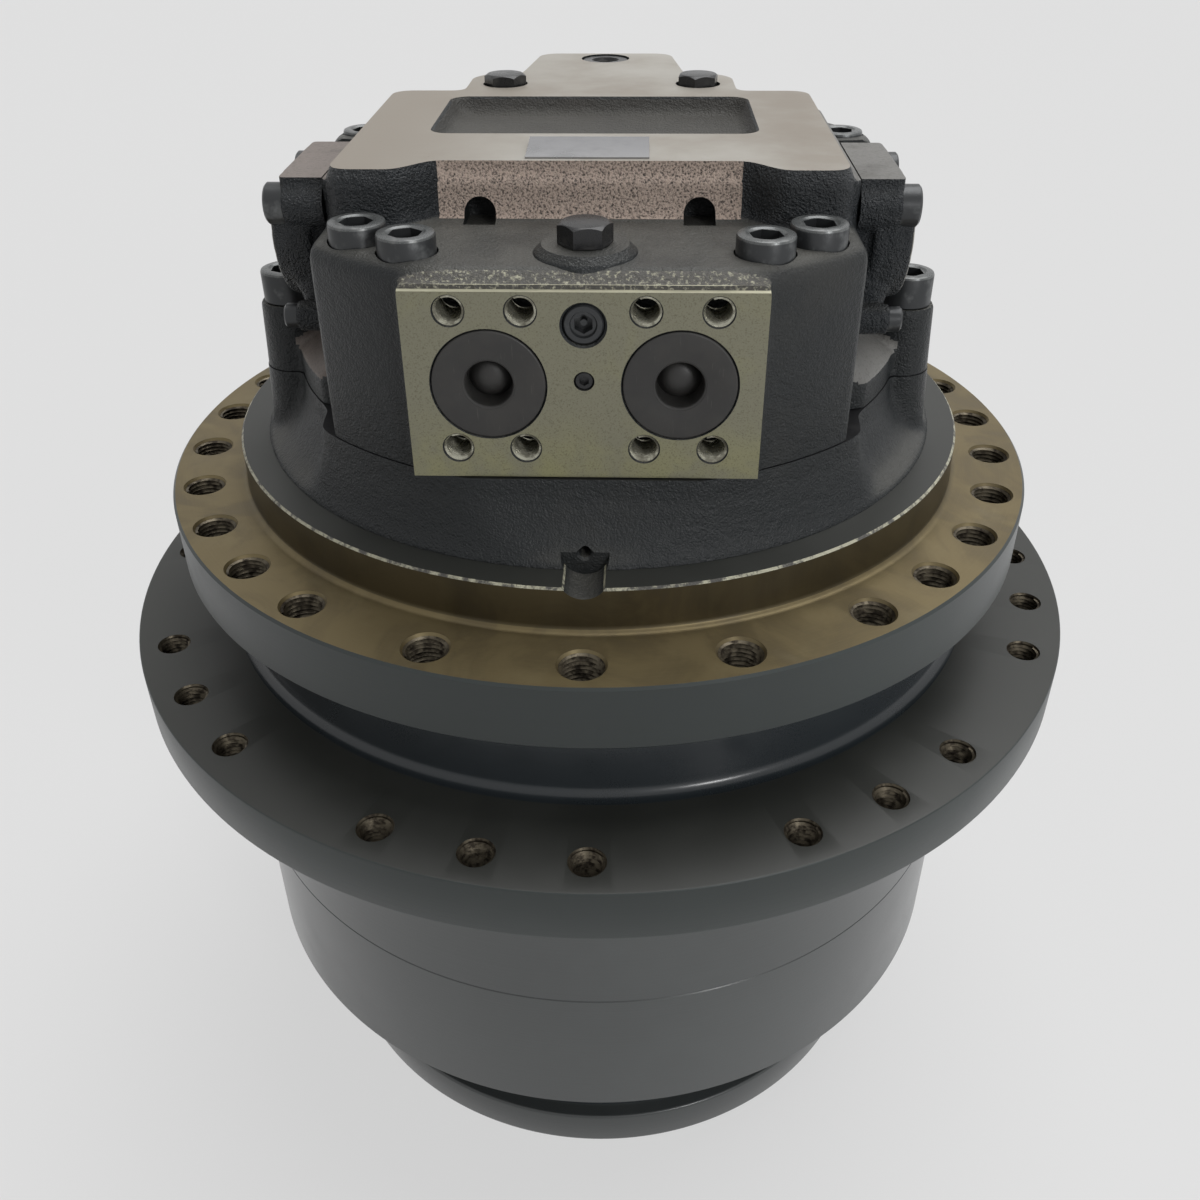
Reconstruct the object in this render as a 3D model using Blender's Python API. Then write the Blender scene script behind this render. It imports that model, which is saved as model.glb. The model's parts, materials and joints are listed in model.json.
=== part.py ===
# Excavator final drive: a hydraulic travel motor on a two-stage planetary reduction.
# It stands on its end cover, with the motor up and the port face towards -Y.
import math

import bmesh
import bpy
from mathutils import Matrix, Vector

# Shared clearances and facet counts
SEAT = 0.0003
OVERRUN = 0.004
WELD_DISTANCE = 0.00002
WIDE_FACETS = 36
ROUND_FACETS = 20
SMALL_FACETS = 10
HOLE_FACETS = 6
SHARP_ANGLE = 35

# End cover, the dish that the drive stands on
END_COVER_HEIGHT = 0.102
FOOT_RADIUS = 0.208
FOOT_HEIGHT = 0.028
FOOT_CHAMFER = 0.003
END_NECK_RADIUS = 0.196
END_FLANGE_THICKNESS = 0.022
END_WALL = 0.026
END_RECESS_RADIUS = 0.150
END_RECESS_DEPTH = 0.003
END_FLOOR = 0.018

# Ring gear and hub, the turning drum
RING_HEIGHT = 0.100
DRUM_RADIUS = 0.245
DRUM_CHAMFER = 0.002
HUB_DRUM_HEIGHT = 0.1155
SPROCKET_RADIUS = 0.296
SPROCKET_THICKNESS = 0.0325
SPROCKET_CHAMFER = 0.003
SPROCKET_HOLE_INSET = 0.020
SPROCKET_HOLE_RADIUS = 0.0088
SPROCKET_DIVISIONS = 32
SPROCKET_GROUP = 4
SPROCKET_TURN = 0.6
NECK_FOOT_RADIUS = 0.231
NECK_FILLET = 0.006
NECK_TOP_RADIUS = 0.222
NECK_HEIGHT = 0.0505

# Gears: both stages share the ring, the sun and the planet size
GEAR_MODULE = 0.008
PRESSURE_ANGLE = 25
RING_TEETH = 48
SUN_TEETH = 12
PLANET_TEETH = 18
PLANETS = 3
ADDENDUM_SHARE = 1.0
DEDENDUM_SHARE = 1.12
TOOTH_PLAY = 0.0004
FLANK_STEPS = 2
STAGE1_WIDTH = 0.030
STAGE1_RISE = 0.004
STAGE2_WIDTH = 0.040
STAGE2_DROP = 0.0037
GEAR_GAP = 0.0025

# Carriers and pins
CARRIER1_RADIUS = 0.158
CARRIER1_THICKNESS = 0.0125
CARRIER1_WINDOW_RADIUS = 0.030
CARRIER2_RADIUS = 0.160
CARRIER2_THICKNESS = 0.0265
CARRIER2_BOSS_RADIUS = 0.085
CARRIER2_BOSS_HEIGHT = 0.023
PIN1_RADIUS = 0.022
PIN2_RADIUS = 0.028
PIN_HEAD_STEP = 0.006
PIN_HEAD_THICKNESS = 0.0045
SUN2_BOSS_RADIUS = 0.028

# Main bearings and floating seal between the hub and the spindle
BEARING_SEAT_RADIUS = 0.140
BEARING_BORE_RADIUS = 0.2043
BEARING_WIDTH = 0.028
BEARING_RISE = 0.042
BEARING_STEP = 0.086
BALL_PITCH_RADIUS = 0.172
BALL_RADIUS = 0.0082
BALL_SIDES = 4
HUB_LEDGE_RADIUS = 0.190
NUT_WIDTH = 0.0147
NUT_RADIUS = 0.150
NUT_NOTCHES = 4
NUT_NOTCH_WIDTH = 0.012
NUT_NOTCH_DEPTH = 0.004
SEAL_RADIUS = 0.200
SEAL_WALL = 0.022
SEAL_HEIGHT = 0.0221

# Frame flange, pilot and spindle of the motor case
FLANGE_GAP = 0.0025
FLANGE_REACH = 0.043
FLANGE_THICKNESS = 0.038
FLANGE_CHAMFER = 0.004
FLANGE_HOLE_INSET = 0.018
FLANGE_HOLE_RADIUS = 0.0098
FLANGE_HOLE_DEPTH = 0.026
FLANGE_CLOSE_STEP = 12
FLANGE_WIDE_STEP = 18
FLANGE_CLOSE_FROM = 36
PILOT_RADIUS = 0.215
PILOT_HEIGHT = 0.025
PILOT_CHAMFER = 0.003
SPINDLE_SHOULDER_RADIUS = 0.150
SPINDLE_THREAD_RADIUS = 0.138
SPOT_RADIUS = 0.0118
SPOT_RISE = 0.006
SPOT_DEPTH = 0.022
SPOT_BORE_RADIUS = 0.003
SPOT_BORE_DEPTH = 0.012

# Casing outline between the pilot and the joint with the rear cover
CASE_HEIGHT = 0.039
CASE_NOSE_RADIUS = 0.188
CASE_WAIST_RADIUS = 0.174
CASE_NOSE_FLARE = 0.009
CASE_WAIST_FLARE = 0.006
CASE_FRONT_SETBACK = 0.003
NOSE_ANGLE = 46
WAIST_ANGLE = 54
REAR_NOSE_ANGLE = 60
REAR_WAIST_ANGLE = 72
OUTLINE_POINTS = 36

# Motor inside the case
CAVITY_RADIUS = 0.118
CAVITY_STEP_RADIUS = 0.106
CAVITY_FLOOR_RISE = 0.064
BRAKE_LEDGE_DROP = 0.065
SHAFT_RADIUS = 0.025
SHAFT_LOWER_RADIUS = 0.020
SHAFT_END_RADIUS = 0.0177
SHAFT_TOP_RADIUS = 0.022
SHAFT_TOP_LENGTH = 0.033
SHAFT_BEARING_RADIUS = 0.045
SHAFT_BEARING_WIDTH = 0.024
COVER_BEARING_RADIUS = 0.038
SHAFT_PLAY = 0.001
VALVE_PLATE_THICKNESS = 0.011
BLOCK_RADIUS = 0.090
BLOCK_HEIGHT = 0.121
PISTONS = 9
PISTON_PITCH_RADIUS = 0.064
PISTON_RADIUS = 0.0105
PISTON_REACH = 0.025
RETAINER_THICKNESS = 0.0067
RETAINER_BORE = 0.036
SWASH_RADIUS = 0.100
SWASH_THICKNESS = 0.028
CRADLE_INNER = 0.045
CRADLE_OUTER = 0.080
KIDNEY_INNER = 0.053
KIDNEY_OUTER = 0.073
KIDNEY_ANGLE = 130
KIDNEY_STEPS = 4
BRAKE_INNER_RADIUS = 0.093
BRAKE_DISCS_HEIGHT = 0.022
BRAKE_PISTON_HEIGHT = 0.036
BRAKE_PISTON_WALL = 0.016
BRAKE_PISTON_LIP = 0.008

# Rear cover: body, top plate and tongue
COVER_HEIGHT = 0.097
COVER_ROUND = 0.007
PLATE_THICKNESS = 0.029
PLATE_SIDE_INSET = 0.0085
PLATE_LOBE_REACH = 0.016
PLATE_NOSE_INSET = 0.082
PLATE_LOBE_STEP = 0.021
PLATE_LOBE_WIDTH = 0.0255
PLATE_BACK = 0.068
STEP_INSET = 0.0415
STEP_BACK = 0.105
SHOULDER_HALF_WIDTH = 0.049
SHOULDER_BACK = 0.130
TONGUE_HALF_WIDTH = 0.044
TONGUE_REACH = 0.006
TONGUE_DEPTH = 0.080
NOSE_SLOPE = 0.011
NOSE_GROOVE_RADIUS = 0.0073
NOSE_GROOVE_INSET = 0.022
NOSE_GROOVE_RISE = 0.0045
NOSE_GROOVE_REACH = 0.016
POCKET_INSET = 0.0365
POCKET_FRONT = 0.040
POCKET_BACK = 0.051
POCKET_DEPTH = 0.009
POCKET_SLOPE = 0.006

# Port face
PORT_FACE_HALF_WIDTH = 0.0815
PORT_FACE_SETBACK = 0.010
PORT_FACE_TOP_DROP = 0.004
PORT_FACE_PROUD = 0.0005
PORT_SPACING = 0.087
PORT_RISE = 0.0487
PORT_BOLTS_APART = 0.0318
PORT_BOLTS_TALL = 0.0667
PORT_BOLT_RADIUS = 0.0062
PORT_BOLT_DEPTH = 0.022
PORT_PLUG_RADIUS = 0.0255
PORT_PLUG_DEPTH = 0.008
PORT_PLUG_RECESS_RADIUS = 0.0109
PORT_PLUG_RECESS_DEPTH = 0.006
PORT_BORE_RADIUS = 0.016
PORT_BORE_DEPTH = 0.036
FACE_PLUG_RADIUS = 0.0094
FACE_PLUG_DEPTH = 0.010
FACE_PLUG_RISE = 0.0757

# Bolts and bosses of the cover
COVER_BOLT_INSET = 0.019
FRONT_BOLT_ANGLE = 28.5
FRONT_BOLT_SPACING = 0.0309
BACK_BOLT_ANGLES = (120, 156)
BOLT_HEAD_RADIUS = 0.0135
BOLT_HEAD_HEIGHT = 0.018
BOLT_SHANK_RADIUS = 0.009
BOLT_SHANK_LENGTH = 0.040
BOLT_SOCKET_SHARE = 0.6
BOLT_SOCKET_DEPTH = 0.009
BOLT_SINK = 0.008
BACK_BOLT_SINK = 0.014
SIDE_BOLT_ANGLE = 77
SIDE_BOLT_REACH = 0.002
SIDE_BOSS_RADIUS = 0.0165
SIDE_BOSS_HEIGHT = 0.0365
SIDE_BOLT_SINK = 0.0005

# Plugs on the top of the cover
HEX_FLATS = 0.022
HEX_HEIGHT = 0.0098
HEX_STEM_RADIUS = 0.008
HEX_STEM_LENGTH = 0.012
FRONT_PLUG_INSET = 0.030
FRONT_BOSS_RADIUS = 0.024
FRONT_BOSS_TOP_RADIUS = 0.0205
FRONT_BOSS_HEIGHT = 0.006
TOP_PLUG_OFFSET = 0.0585
TOP_PLUG_BACK = 0.090
TOP_PLUG_SINK = 0.004
TOP_PLUG_SPOT_RADIUS = 0.0135
FLUSH_PLUG_INSET = 0.018
FLUSH_PLUG_RADIUS = 0.0156
FLUSH_PLUG_DEPTH = 0.012
FLUSH_PLUG_SOCKET = 0.010

# Counterbalance spool and the two side caps
SPOOL_PLACE = 0.0555
SPOOL_DROP = 0.041
SPOOL_RADIUS = 0.0157
SPOOL_TRAVEL = 0.008
SPOOL_GROOVE_DEPTH = 0.004
SPOOL_LANDS = 4
SIDE_INSET = 0.044
SIDE_WALL_SETBACK = 0.0005
SIDE_STEP_FRONT = 0.105
SIDE_STEP_BACK = 0.066
SIDE_STEP_HEIGHT = 0.030
CAP_THICKNESS = 0.021
CAP_FRONT = 0.0925
CAP_LENGTH = 0.074
CAP_TOP_DROP = 0.009
CAP_HEIGHT = 0.074
CAP_CORNER = 0.012
CAP_DISC_RADIUS = 0.036
CAP_DISC_HEIGHT = 0.006
CAP_EAR_RADIUS = 0.0115
CAP_EAR_INSET = 0.0055
CAP_BOLT_RADIUS = 0.0105
CAP_BOLT_HEIGHT = 0.0104
CAP_LOW_EAR_RADIUS = 0.0082
CAP_LOW_EAR_REACH = 0.001
CAP_LOW_EAR_RISE = 0.0045
CAP_LOW_BOLT_RADIUS = 0.0063
CAP_LOW_BOLT_HEIGHT = 0.0065

# Places that follow from the sizes above
FLANGE_RADIUS = PILOT_RADIUS + FLANGE_REACH
SIDE_HALF_WIDTH = CASE_WAIST_RADIUS - SIDE_INSET
PLATE_HALF_WIDTH = SIDE_HALF_WIDTH - PLATE_SIDE_INSET
PLATE_LOBE_INNER = PLATE_HALF_WIDTH - PLATE_LOBE_WIDTH
PLATE_NOSE_HALF_WIDTH = PLATE_LOBE_INNER - PLATE_LOBE_STEP
STEP_HALF_WIDTH = PLATE_HALF_WIDTH - STEP_INSET
NOSE_GROOVE_OFFSET = PLATE_NOSE_HALF_WIDTH - NOSE_GROOVE_INSET
POCKET_HALF_WIDTH = PLATE_HALF_WIDTH - POCKET_INSET
SPROCKET_PITCH_RADIUS = SPROCKET_RADIUS - SPROCKET_HOLE_INSET
FLANGE_PITCH_RADIUS = FLANGE_RADIUS - FLANGE_HOLE_INSET
PORT_FACE_FRONT = CASE_NOSE_RADIUS - PORT_FACE_SETBACK
PLATE_NOSE = PORT_FACE_FRONT - PLATE_NOSE_INSET
PLATE_FRONT = PLATE_NOSE + PLATE_LOBE_REACH
TONGUE_BACK = CASE_NOSE_RADIUS + TONGUE_REACH
FRONT_PLUG_PLACE = PORT_FACE_FRONT - FRONT_PLUG_INSET
FLUSH_PLUG_BACK = TONGUE_BACK - FLUSH_PLUG_INSET
COVER_BOLT_PITCH_RADIUS = CASE_NOSE_RADIUS - COVER_BOLT_INSET
FRONT_BOLT_STEP = math.degrees(2 * math.asin(FRONT_BOLT_SPACING / 2 / COVER_BOLT_PITCH_RADIUS))
FRONT_BOLT_ANGLES = (FRONT_BOLT_ANGLE, FRONT_BOLT_ANGLE + FRONT_BOLT_STEP)
SIDE_BOLT_PITCH_RADIUS = CASE_WAIST_RADIUS + SIDE_BOLT_REACH

# Heights of the main joints, from the ground up
RING_Z = END_COVER_HEIGHT
HUB_Z = RING_Z + RING_HEIGHT
SPROCKET_Z = HUB_Z + HUB_DRUM_HEIGHT
SPROCKET_TOP = SPROCKET_Z + SPROCKET_THICKNESS
HUB_TOP = SPROCKET_TOP + NECK_HEIGHT
FLANGE_Z = HUB_TOP + FLANGE_GAP
FLANGE_TOP = FLANGE_Z + FLANGE_THICKNESS
PILOT_TOP = FLANGE_TOP + PILOT_HEIGHT
JOINT_Z = PILOT_TOP + CASE_HEIGHT
COVER_Z = JOINT_Z + SEAT
BODY_TOP = JOINT_Z + COVER_HEIGHT
PLATE_TOP = BODY_TOP + PLATE_THICKNESS

# Heights inside
STAGE1_Z = RING_Z + STAGE1_RISE
STAGE1_TOP = STAGE1_Z + STAGE1_WIDTH
CARRIER1_Z = STAGE1_TOP + GEAR_GAP
CARRIER1_TOP = CARRIER1_Z + CARRIER1_THICKNESS
STAGE2_TOP = HUB_Z - STAGE2_DROP
STAGE2_Z = STAGE2_TOP - STAGE2_WIDTH
CARRIER2_Z = STAGE2_TOP + SEAT + SEAT
SPINDLE_Z = CARRIER2_Z + CARRIER2_THICKNESS + SEAT
LOWER_BEARING_Z = HUB_Z + BEARING_RISE
UPPER_BEARING_Z = LOWER_BEARING_Z + BEARING_STEP
CAVITY_FLOOR = SPINDLE_Z + CAVITY_FLOOR_RISE
BRAKE_LEDGE = JOINT_Z - BRAKE_LEDGE_DROP
VALVE_PLATE_Z = JOINT_Z - VALVE_PLATE_THICKNESS
BLOCK_TOP = VALVE_PLATE_Z - SEAT
BLOCK_Z = BLOCK_TOP - BLOCK_HEIGHT
RETAINER_TOP = BLOCK_Z - PISTON_REACH - SEAT
RETAINER_Z = RETAINER_TOP - RETAINER_THICKNESS
SWASH_TOP = RETAINER_Z - SEAT
SPOOL_Z = PLATE_TOP - SPOOL_DROP
PORT_Z = JOINT_Z + PORT_RISE
FACE_TOP = BODY_TOP - PORT_FACE_TOP_DROP
CENTRE_DISTANCE = GEAR_MODULE * (SUN_TEETH + PLANET_TEETH) / 2

# Finishes: colour, roughness, metallic
FINISHES = {
    'painted_casting': ((0.026, 0.029, 0.032), 0.42, 0.0),
    'painted_steel': ((0.040, 0.046, 0.048), 0.38, 0.0),
    'bare_casting': ((0.13, 0.10, 0.07), 0.55, 0.6),
    'ground_steel': ((0.42, 0.42, 0.41), 0.30, 1.0),
    'gear_steel': ((0.30, 0.29, 0.28), 0.34, 1.0),
    'black_bolt': ((0.045, 0.046, 0.047), 0.45, 0.4),
    'black_plastic': ((0.030, 0.028, 0.026), 0.50, 0.0),
    'friction_facing': ((0.16, 0.10, 0.06), 0.75, 0.0),
    'bearing_bronze': ((0.42, 0.27, 0.11), 0.35, 1.0),
}


def clear_scene():
    for old in list(bpy.data.objects):
        bpy.data.objects.remove(old)


def finish(name):
    made = bpy.data.materials.get(name)
    if made:
        return made
    colour, roughness, metallic = FINISHES[name]
    made = bpy.data.materials.new(name)
    made.use_nodes = True
    shader = made.node_tree.nodes['Principled BSDF']
    shader.inputs['Base Color'].default_value = (*colour, 1)
    shader.inputs['Roughness'].default_value = roughness
    shader.inputs['Metallic'].default_value = metallic
    made.diffuse_color = (*colour, 1)
    return made


# Shapes: each returns a bmesh
def turned(profile, facets=ROUND_FACETS):
    """A closed profile of (radius, height) points turned about Z."""
    bm = bmesh.new()
    verts = [bm.verts.new((r, 0, z)) for r, z in profile]
    edges = [bm.edges.new((a, b)) for a, b in zip(verts, verts[1:] + verts[:1]) if a.co.x or b.co.x]
    bmesh.ops.spin(bm, geom=verts + edges, axis=(0, 0, 1), cent=(0, 0, 0), angle=math.tau,
                   steps=facets, use_merge=True, use_duplicate=False)
    bmesh.ops.remove_doubles(bm, verts=bm.verts, dist=WELD_DISTANCE)
    bmesh.ops.recalc_face_normals(bm, faces=bm.faces)
    return bm


def disc(radius, low, high, facets=ROUND_FACETS, bore=0):
    if bore:
        return turned([(bore, low), (radius, low), (radius, high), (bore, high)], facets)
    return turned([(0, low), (radius, low), (radius, high), (0, high)], facets)


def prism(outline, low, high):
    """An outline of (x, y) points raised from one height to another."""
    bm = bmesh.new()
    face = bm.faces.new([bm.verts.new((x, y, low)) for x, y in outline])
    raised = bmesh.ops.extrude_face_region(bm, geom=[face])
    top = [v for v in raised['geom'] if isinstance(v, bmesh.types.BMVert)]
    bmesh.ops.translate(bm, verts=top, vec=(0, 0, high - low))
    bmesh.ops.recalc_face_normals(bm, faces=bm.faces)
    return bm


def with_bore(outline, bore, low, high, facets=SMALL_FACETS):
    """A prism with a round bore down its middle."""
    bm = bmesh.new()
    circle = [(bore * math.cos(math.tau * i / facets), bore * math.sin(math.tau * i / facets)) for i in range(facets)]
    for line in (outline, circle):
        verts = [bm.verts.new((x, y, low)) for x, y in line]
        for a, b in zip(verts, verts[1:] + verts[:1]):
            bm.edges.new((a, b))
    bmesh.ops.triangle_fill(bm, use_beauty=True, use_dissolve=False, edges=bm.edges)
    raised = bmesh.ops.extrude_face_region(bm, geom=list(bm.faces), use_keep_orig=True)
    top = [v for v in raised['geom'] if isinstance(v, bmesh.types.BMVert)]
    bmesh.ops.translate(bm, verts=top, vec=(0, 0, high - low))
    bmesh.ops.recalc_face_normals(bm, faces=bm.faces)
    return bm


def loft(lower, low, upper, high):
    """Two outlines with as many points, joined from one height to the other."""
    bm = bmesh.new()
    rings = [[bm.verts.new((x, y, z)) for x, y in line] for line, z in ((lower, low), (upper, high))]
    bm.faces.new(rings[0])
    bm.faces.new(rings[1])
    count = len(lower)
    for i in range(count):
        j = (i + 1) % count
        bm.faces.new((rings[0][i], rings[0][j], rings[1][j], rings[1][i]))
    bmesh.ops.recalc_face_normals(bm, faces=bm.faces)
    return bm


def bore_for(radius, facets=ROUND_FACETS, gap=SEAT):
    """The corner radius of a faceted bore whose flats clear a round piece."""
    return (radius + gap) / math.cos(math.pi / facets)


def inside(radius, facets, gap=SEAT):
    """The radius of a round piece that clears the flats of a faceted bore."""
    return radius * math.cos(math.pi / facets) - gap


def moved(bm, place=(0, 0, 0), turn=None):
    matrix = Matrix.Translation(Vector(place))
    if turn:
        matrix = matrix @ turn
    bmesh.ops.transform(bm, matrix=matrix, verts=bm.verts)
    return bm


def bored(bm):
    """The same shape laid over, so that its height runs towards -Y."""
    return moved(bm, turn=Matrix.Rotation(math.radians(90), 4, 'X'))


def sideways(bm, side):
    """The same shape laid over, so that its height runs towards +X or -X."""
    return moved(bm, turn=Matrix.Rotation(math.radians(90 * side), 4, 'Y'))


def several(shapes):
    """Separate shapes in one bmesh, to be used as one cutter or one addition."""
    bm = bmesh.new()
    for shape in shapes:
        mesh = bpy.data.meshes.new('shape')
        shape.to_mesh(mesh)
        shape.free()
        bm.from_mesh(mesh)
        bpy.data.meshes.remove(mesh)
    return bm


def top_edges_rounded(bm, height, width, steps=1):
    edges = [e for e in bm.edges if all(abs(v.co.z - height) < SEAT for v in e.verts)]
    bmesh.ops.bevel(bm, geom=edges, offset=width, segments=steps, profile=0.5, affect='EDGES')
    return bm


def node(name, bm, surface, smooth=True):
    mesh = bpy.data.meshes.new(name)
    bm.to_mesh(mesh)
    bm.free()
    mesh.materials.append(finish(surface))
    if smooth:
        mesh.shade_smooth()
        mesh.set_sharp_from_angle(angle=math.radians(SHARP_ANGLE))
    made = bpy.data.objects.new(name, mesh)
    bpy.context.scene.collection.objects.link(made)
    return made


def combine(target, bm, operation):
    """Adds or cuts a shape with a Boolean whose guide is a hidden wire object."""
    guide = node(target.name + '_guide', bm, 'ground_steel', smooth=False)
    guide.parent = target
    guide.hide_render = True
    guide.display_type = 'WIRE'
    change = target.modifiers.new(operation.lower(), 'BOOLEAN')
    change.operation = operation
    change.solver = 'EXACT'
    change.use_self = False
    change.object = guide


def add(target, bm):
    combine(target, bm, 'UNION')


def cut(target, bm):
    combine(target, bm, 'DIFFERENCE')


def empty(name, place, parent=None):
    made = bpy.data.objects.new(name, None)
    made.location = place
    made.parent = parent
    bpy.context.scene.collection.objects.link(made)
    return made


def hang(child, parent, place=(0, 0, 0)):
    """Parents a finished piece, and welds the points that its Booleans left side by side."""
    child.parent = parent
    child.location = place
    if child.modifiers:
        weld = child.modifiers.new('weld', 'WELD')
        weld.merge_threshold = WELD_DISTANCE


def around(radius, angle):
    """A place on a circle, with the angle in degrees from the port side."""
    turn = math.radians(angle)
    return radius * math.sin(turn), -radius * math.cos(turn)


def hexagon(flats):
    corner = flats / math.sqrt(3)
    return [(corner * math.cos(math.radians(60 * i)), corner * math.sin(math.radians(60 * i)))
            for i in range(6)]


def rounded_box(left, right, front, back, corner, steps=3):
    points = []
    for x, y, start in ((right, back, 0), (left, back, 90), (left, front, 180), (right, front, 270)):
        cx = x - corner if x == right else x + corner
        cy = y - corner if y == back else y + corner
        for i in range(steps + 1):
            turn = math.radians(start + 90 * i / steps)
            points.append((cx + corner * math.cos(turn), cy + corner * math.sin(turn)))
    return points


# Gear teeth
def involute(angle):
    return math.tan(angle) - angle


def tooth_half_angle(teeth, radius, play):
    pitch = GEAR_MODULE * teeth / 2
    pressure = math.radians(PRESSURE_ANGLE)
    base = pitch * math.cos(pressure)
    here = math.acos(min(1, base / radius))
    return math.pi / (2 * teeth) - play / (2 * pitch) + involute(pressure) - involute(here)


def gear_outline(teeth, inner_share, outer_share, play):
    """Teeth with involute flanks, the first centred on +X.

    A ring gear's outline is that of a gear with wider teeth, cut out of the ring."""
    pitch = GEAR_MODULE * teeth / 2
    root = pitch - GEAR_MODULE * inner_share
    tip = pitch + GEAR_MODULE * outer_share
    base = pitch * math.cos(math.radians(PRESSURE_ANGLE))
    start = max(root, base)
    flank = [start + (tip - start) * i / FLANK_STEPS for i in range(FLANK_STEPS + 1)]
    rise = [(r, tooth_half_angle(teeth, r, play)) for r in flank]
    rise[0] = (root, rise[0][1])
    points = []
    for tooth in range(teeth):
        middle = math.tau * tooth / teeth
        for r, half in rise:
            points.append((r * math.cos(middle - half), r * math.sin(middle - half)))
        for r, half in reversed(rise):
            points.append((r * math.cos(middle + half), r * math.sin(middle + half)))
    return points


def teeth_line(teeth):
    return gear_outline(teeth, DEDENDUM_SHARE, ADDENDUM_SHARE, TOOTH_PLAY)


def gear(name, teeth, low, high, bore, turn):
    """A toothed wheel with a plain bore."""
    bm = with_bore(teeth_line(teeth), bore, low, high)
    bmesh.ops.rotate(bm, cent=(0, 0, 0), matrix=Matrix.Rotation(turn, 3, 'Z'), verts=bm.verts)
    return node(name, bm, 'gear_steel', smooth=False)


def planet_turn(place):
    """Turns a planet at this angle so that its tooth stands in a space of the ring.

    The ring has a space centred on +X."""
    spaces = place * RING_TEETH / math.tau
    return place - math.tau * spaces / PLANET_TEETH


def sun_turn():
    """Turns a sun so that its space faces the tooth of the planet on +X."""
    opposite = (math.pi - planet_turn(0)) * PLANET_TEETH / math.tau
    return -math.tau * (0.5 - opposite) / SUN_TEETH


# Outlines of the casing and the cover
def casing_outline(nose, waist, front):
    """Wide at the front and back noses, drawn in at the waist and flat at the front."""
    line = []
    for i in range(OUTLINE_POINTS):
        angle = 360 * i / OUTLINE_POINTS
        off = min(angle, 360 - angle)
        front_blend = (off - NOSE_ANGLE) / (WAIST_ANGLE - NOSE_ANGLE)
        rear_blend = (180 - off - REAR_NOSE_ANGLE) / (REAR_WAIST_ANGLE - REAR_NOSE_ANGLE)
        blend = min(1, max(0, min(front_blend, rear_blend)))
        blend = blend * blend * (3 - 2 * blend)
        x, y = around(nose + (waist - nose) * blend, angle)
        line.append((x, max(y, -front)))
    return line


def plate_outline():
    right = [
        (PLATE_NOSE_HALF_WIDTH, -PLATE_NOSE),
        (PLATE_NOSE_HALF_WIDTH + (PLATE_LOBE_INNER - PLATE_NOSE_HALF_WIDTH) / 3,
         -PLATE_NOSE - (PLATE_FRONT - PLATE_NOSE) / 4),
        (PLATE_LOBE_INNER - (PLATE_LOBE_INNER - PLATE_NOSE_HALF_WIDTH) / 3,
         -PLATE_FRONT + (PLATE_FRONT - PLATE_NOSE) / 4),
        (PLATE_LOBE_INNER, -PLATE_FRONT),
        (PLATE_HALF_WIDTH - CAP_CORNER / 3, -PLATE_FRONT),
        (PLATE_HALF_WIDTH, -PLATE_FRONT + CAP_CORNER / 3),
        (PLATE_HALF_WIDTH, PLATE_BACK - CAP_CORNER / 2),
        (PLATE_HALF_WIDTH - CAP_CORNER / 2, PLATE_BACK),
        (STEP_HALF_WIDTH, PLATE_BACK),
        (STEP_HALF_WIDTH - CAP_CORNER / 3, STEP_BACK),
        (SHOULDER_HALF_WIDTH + CAP_CORNER, SHOULDER_BACK - CAP_CORNER / 2),
        (SHOULDER_HALF_WIDTH, SHOULDER_BACK),
        (TONGUE_HALF_WIDTH, TONGUE_BACK - CAP_CORNER),
        (TONGUE_HALF_WIDTH - CAP_CORNER, TONGUE_BACK),
    ]
    return right + [(-x, y) for x, y in reversed(right)]


def kidney_outline(start, stop):
    turns = [math.radians(start + (stop - start) * i / KIDNEY_STEPS) for i in range(KIDNEY_STEPS + 1)]
    outer = [(KIDNEY_OUTER * math.cos(t), KIDNEY_OUTER * math.sin(t)) for t in turns]
    inner = [(KIDNEY_INNER * math.cos(t), KIDNEY_INNER * math.sin(t)) for t in reversed(turns)]
    return outer + inner


# Lower half: end cover, ring gear, hub
def make_end_cover(parent):
    top = RING_Z - SEAT
    flange = top - END_FLANGE_THICKNESS
    cavity = END_NECK_RADIUS - END_WALL
    floor = END_RECESS_DEPTH + END_FLOOR
    shell = turned([
        (0, END_RECESS_DEPTH), (END_RECESS_RADIUS, END_RECESS_DEPTH), (END_RECESS_RADIUS, 0),
        (FOOT_RADIUS - FOOT_CHAMFER, 0), (FOOT_RADIUS, FOOT_CHAMFER), (FOOT_RADIUS, FOOT_HEIGHT),
        (END_NECK_RADIUS, FOOT_HEIGHT + FOOT_CHAMFER), (END_NECK_RADIUS, flange),
        (FOOT_RADIUS, flange + FOOT_CHAMFER), (FOOT_RADIUS, top), (cavity, top), (cavity, floor), (0, floor),
    ], WIDE_FACETS)
    hang(node('end_cover', shell, 'painted_casting'), parent)


def make_ring_gear(parent):
    high = HUB_Z - SEAT
    body = turned([
        (0, RING_Z), (DRUM_RADIUS - DRUM_CHAMFER, RING_Z), (DRUM_RADIUS, RING_Z + DRUM_CHAMFER),
        (DRUM_RADIUS, high), (0, high),
    ], WIDE_FACETS)
    ring = node('ring_gear', body, 'painted_steel')
    spaces = gear_outline(RING_TEETH, ADDENDUM_SHARE, DEDENDUM_SHARE, -TOOTH_PLAY)
    cut(ring, prism(spaces, RING_Z - OVERRUN, high + OVERRUN))
    hang(ring, parent)


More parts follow.
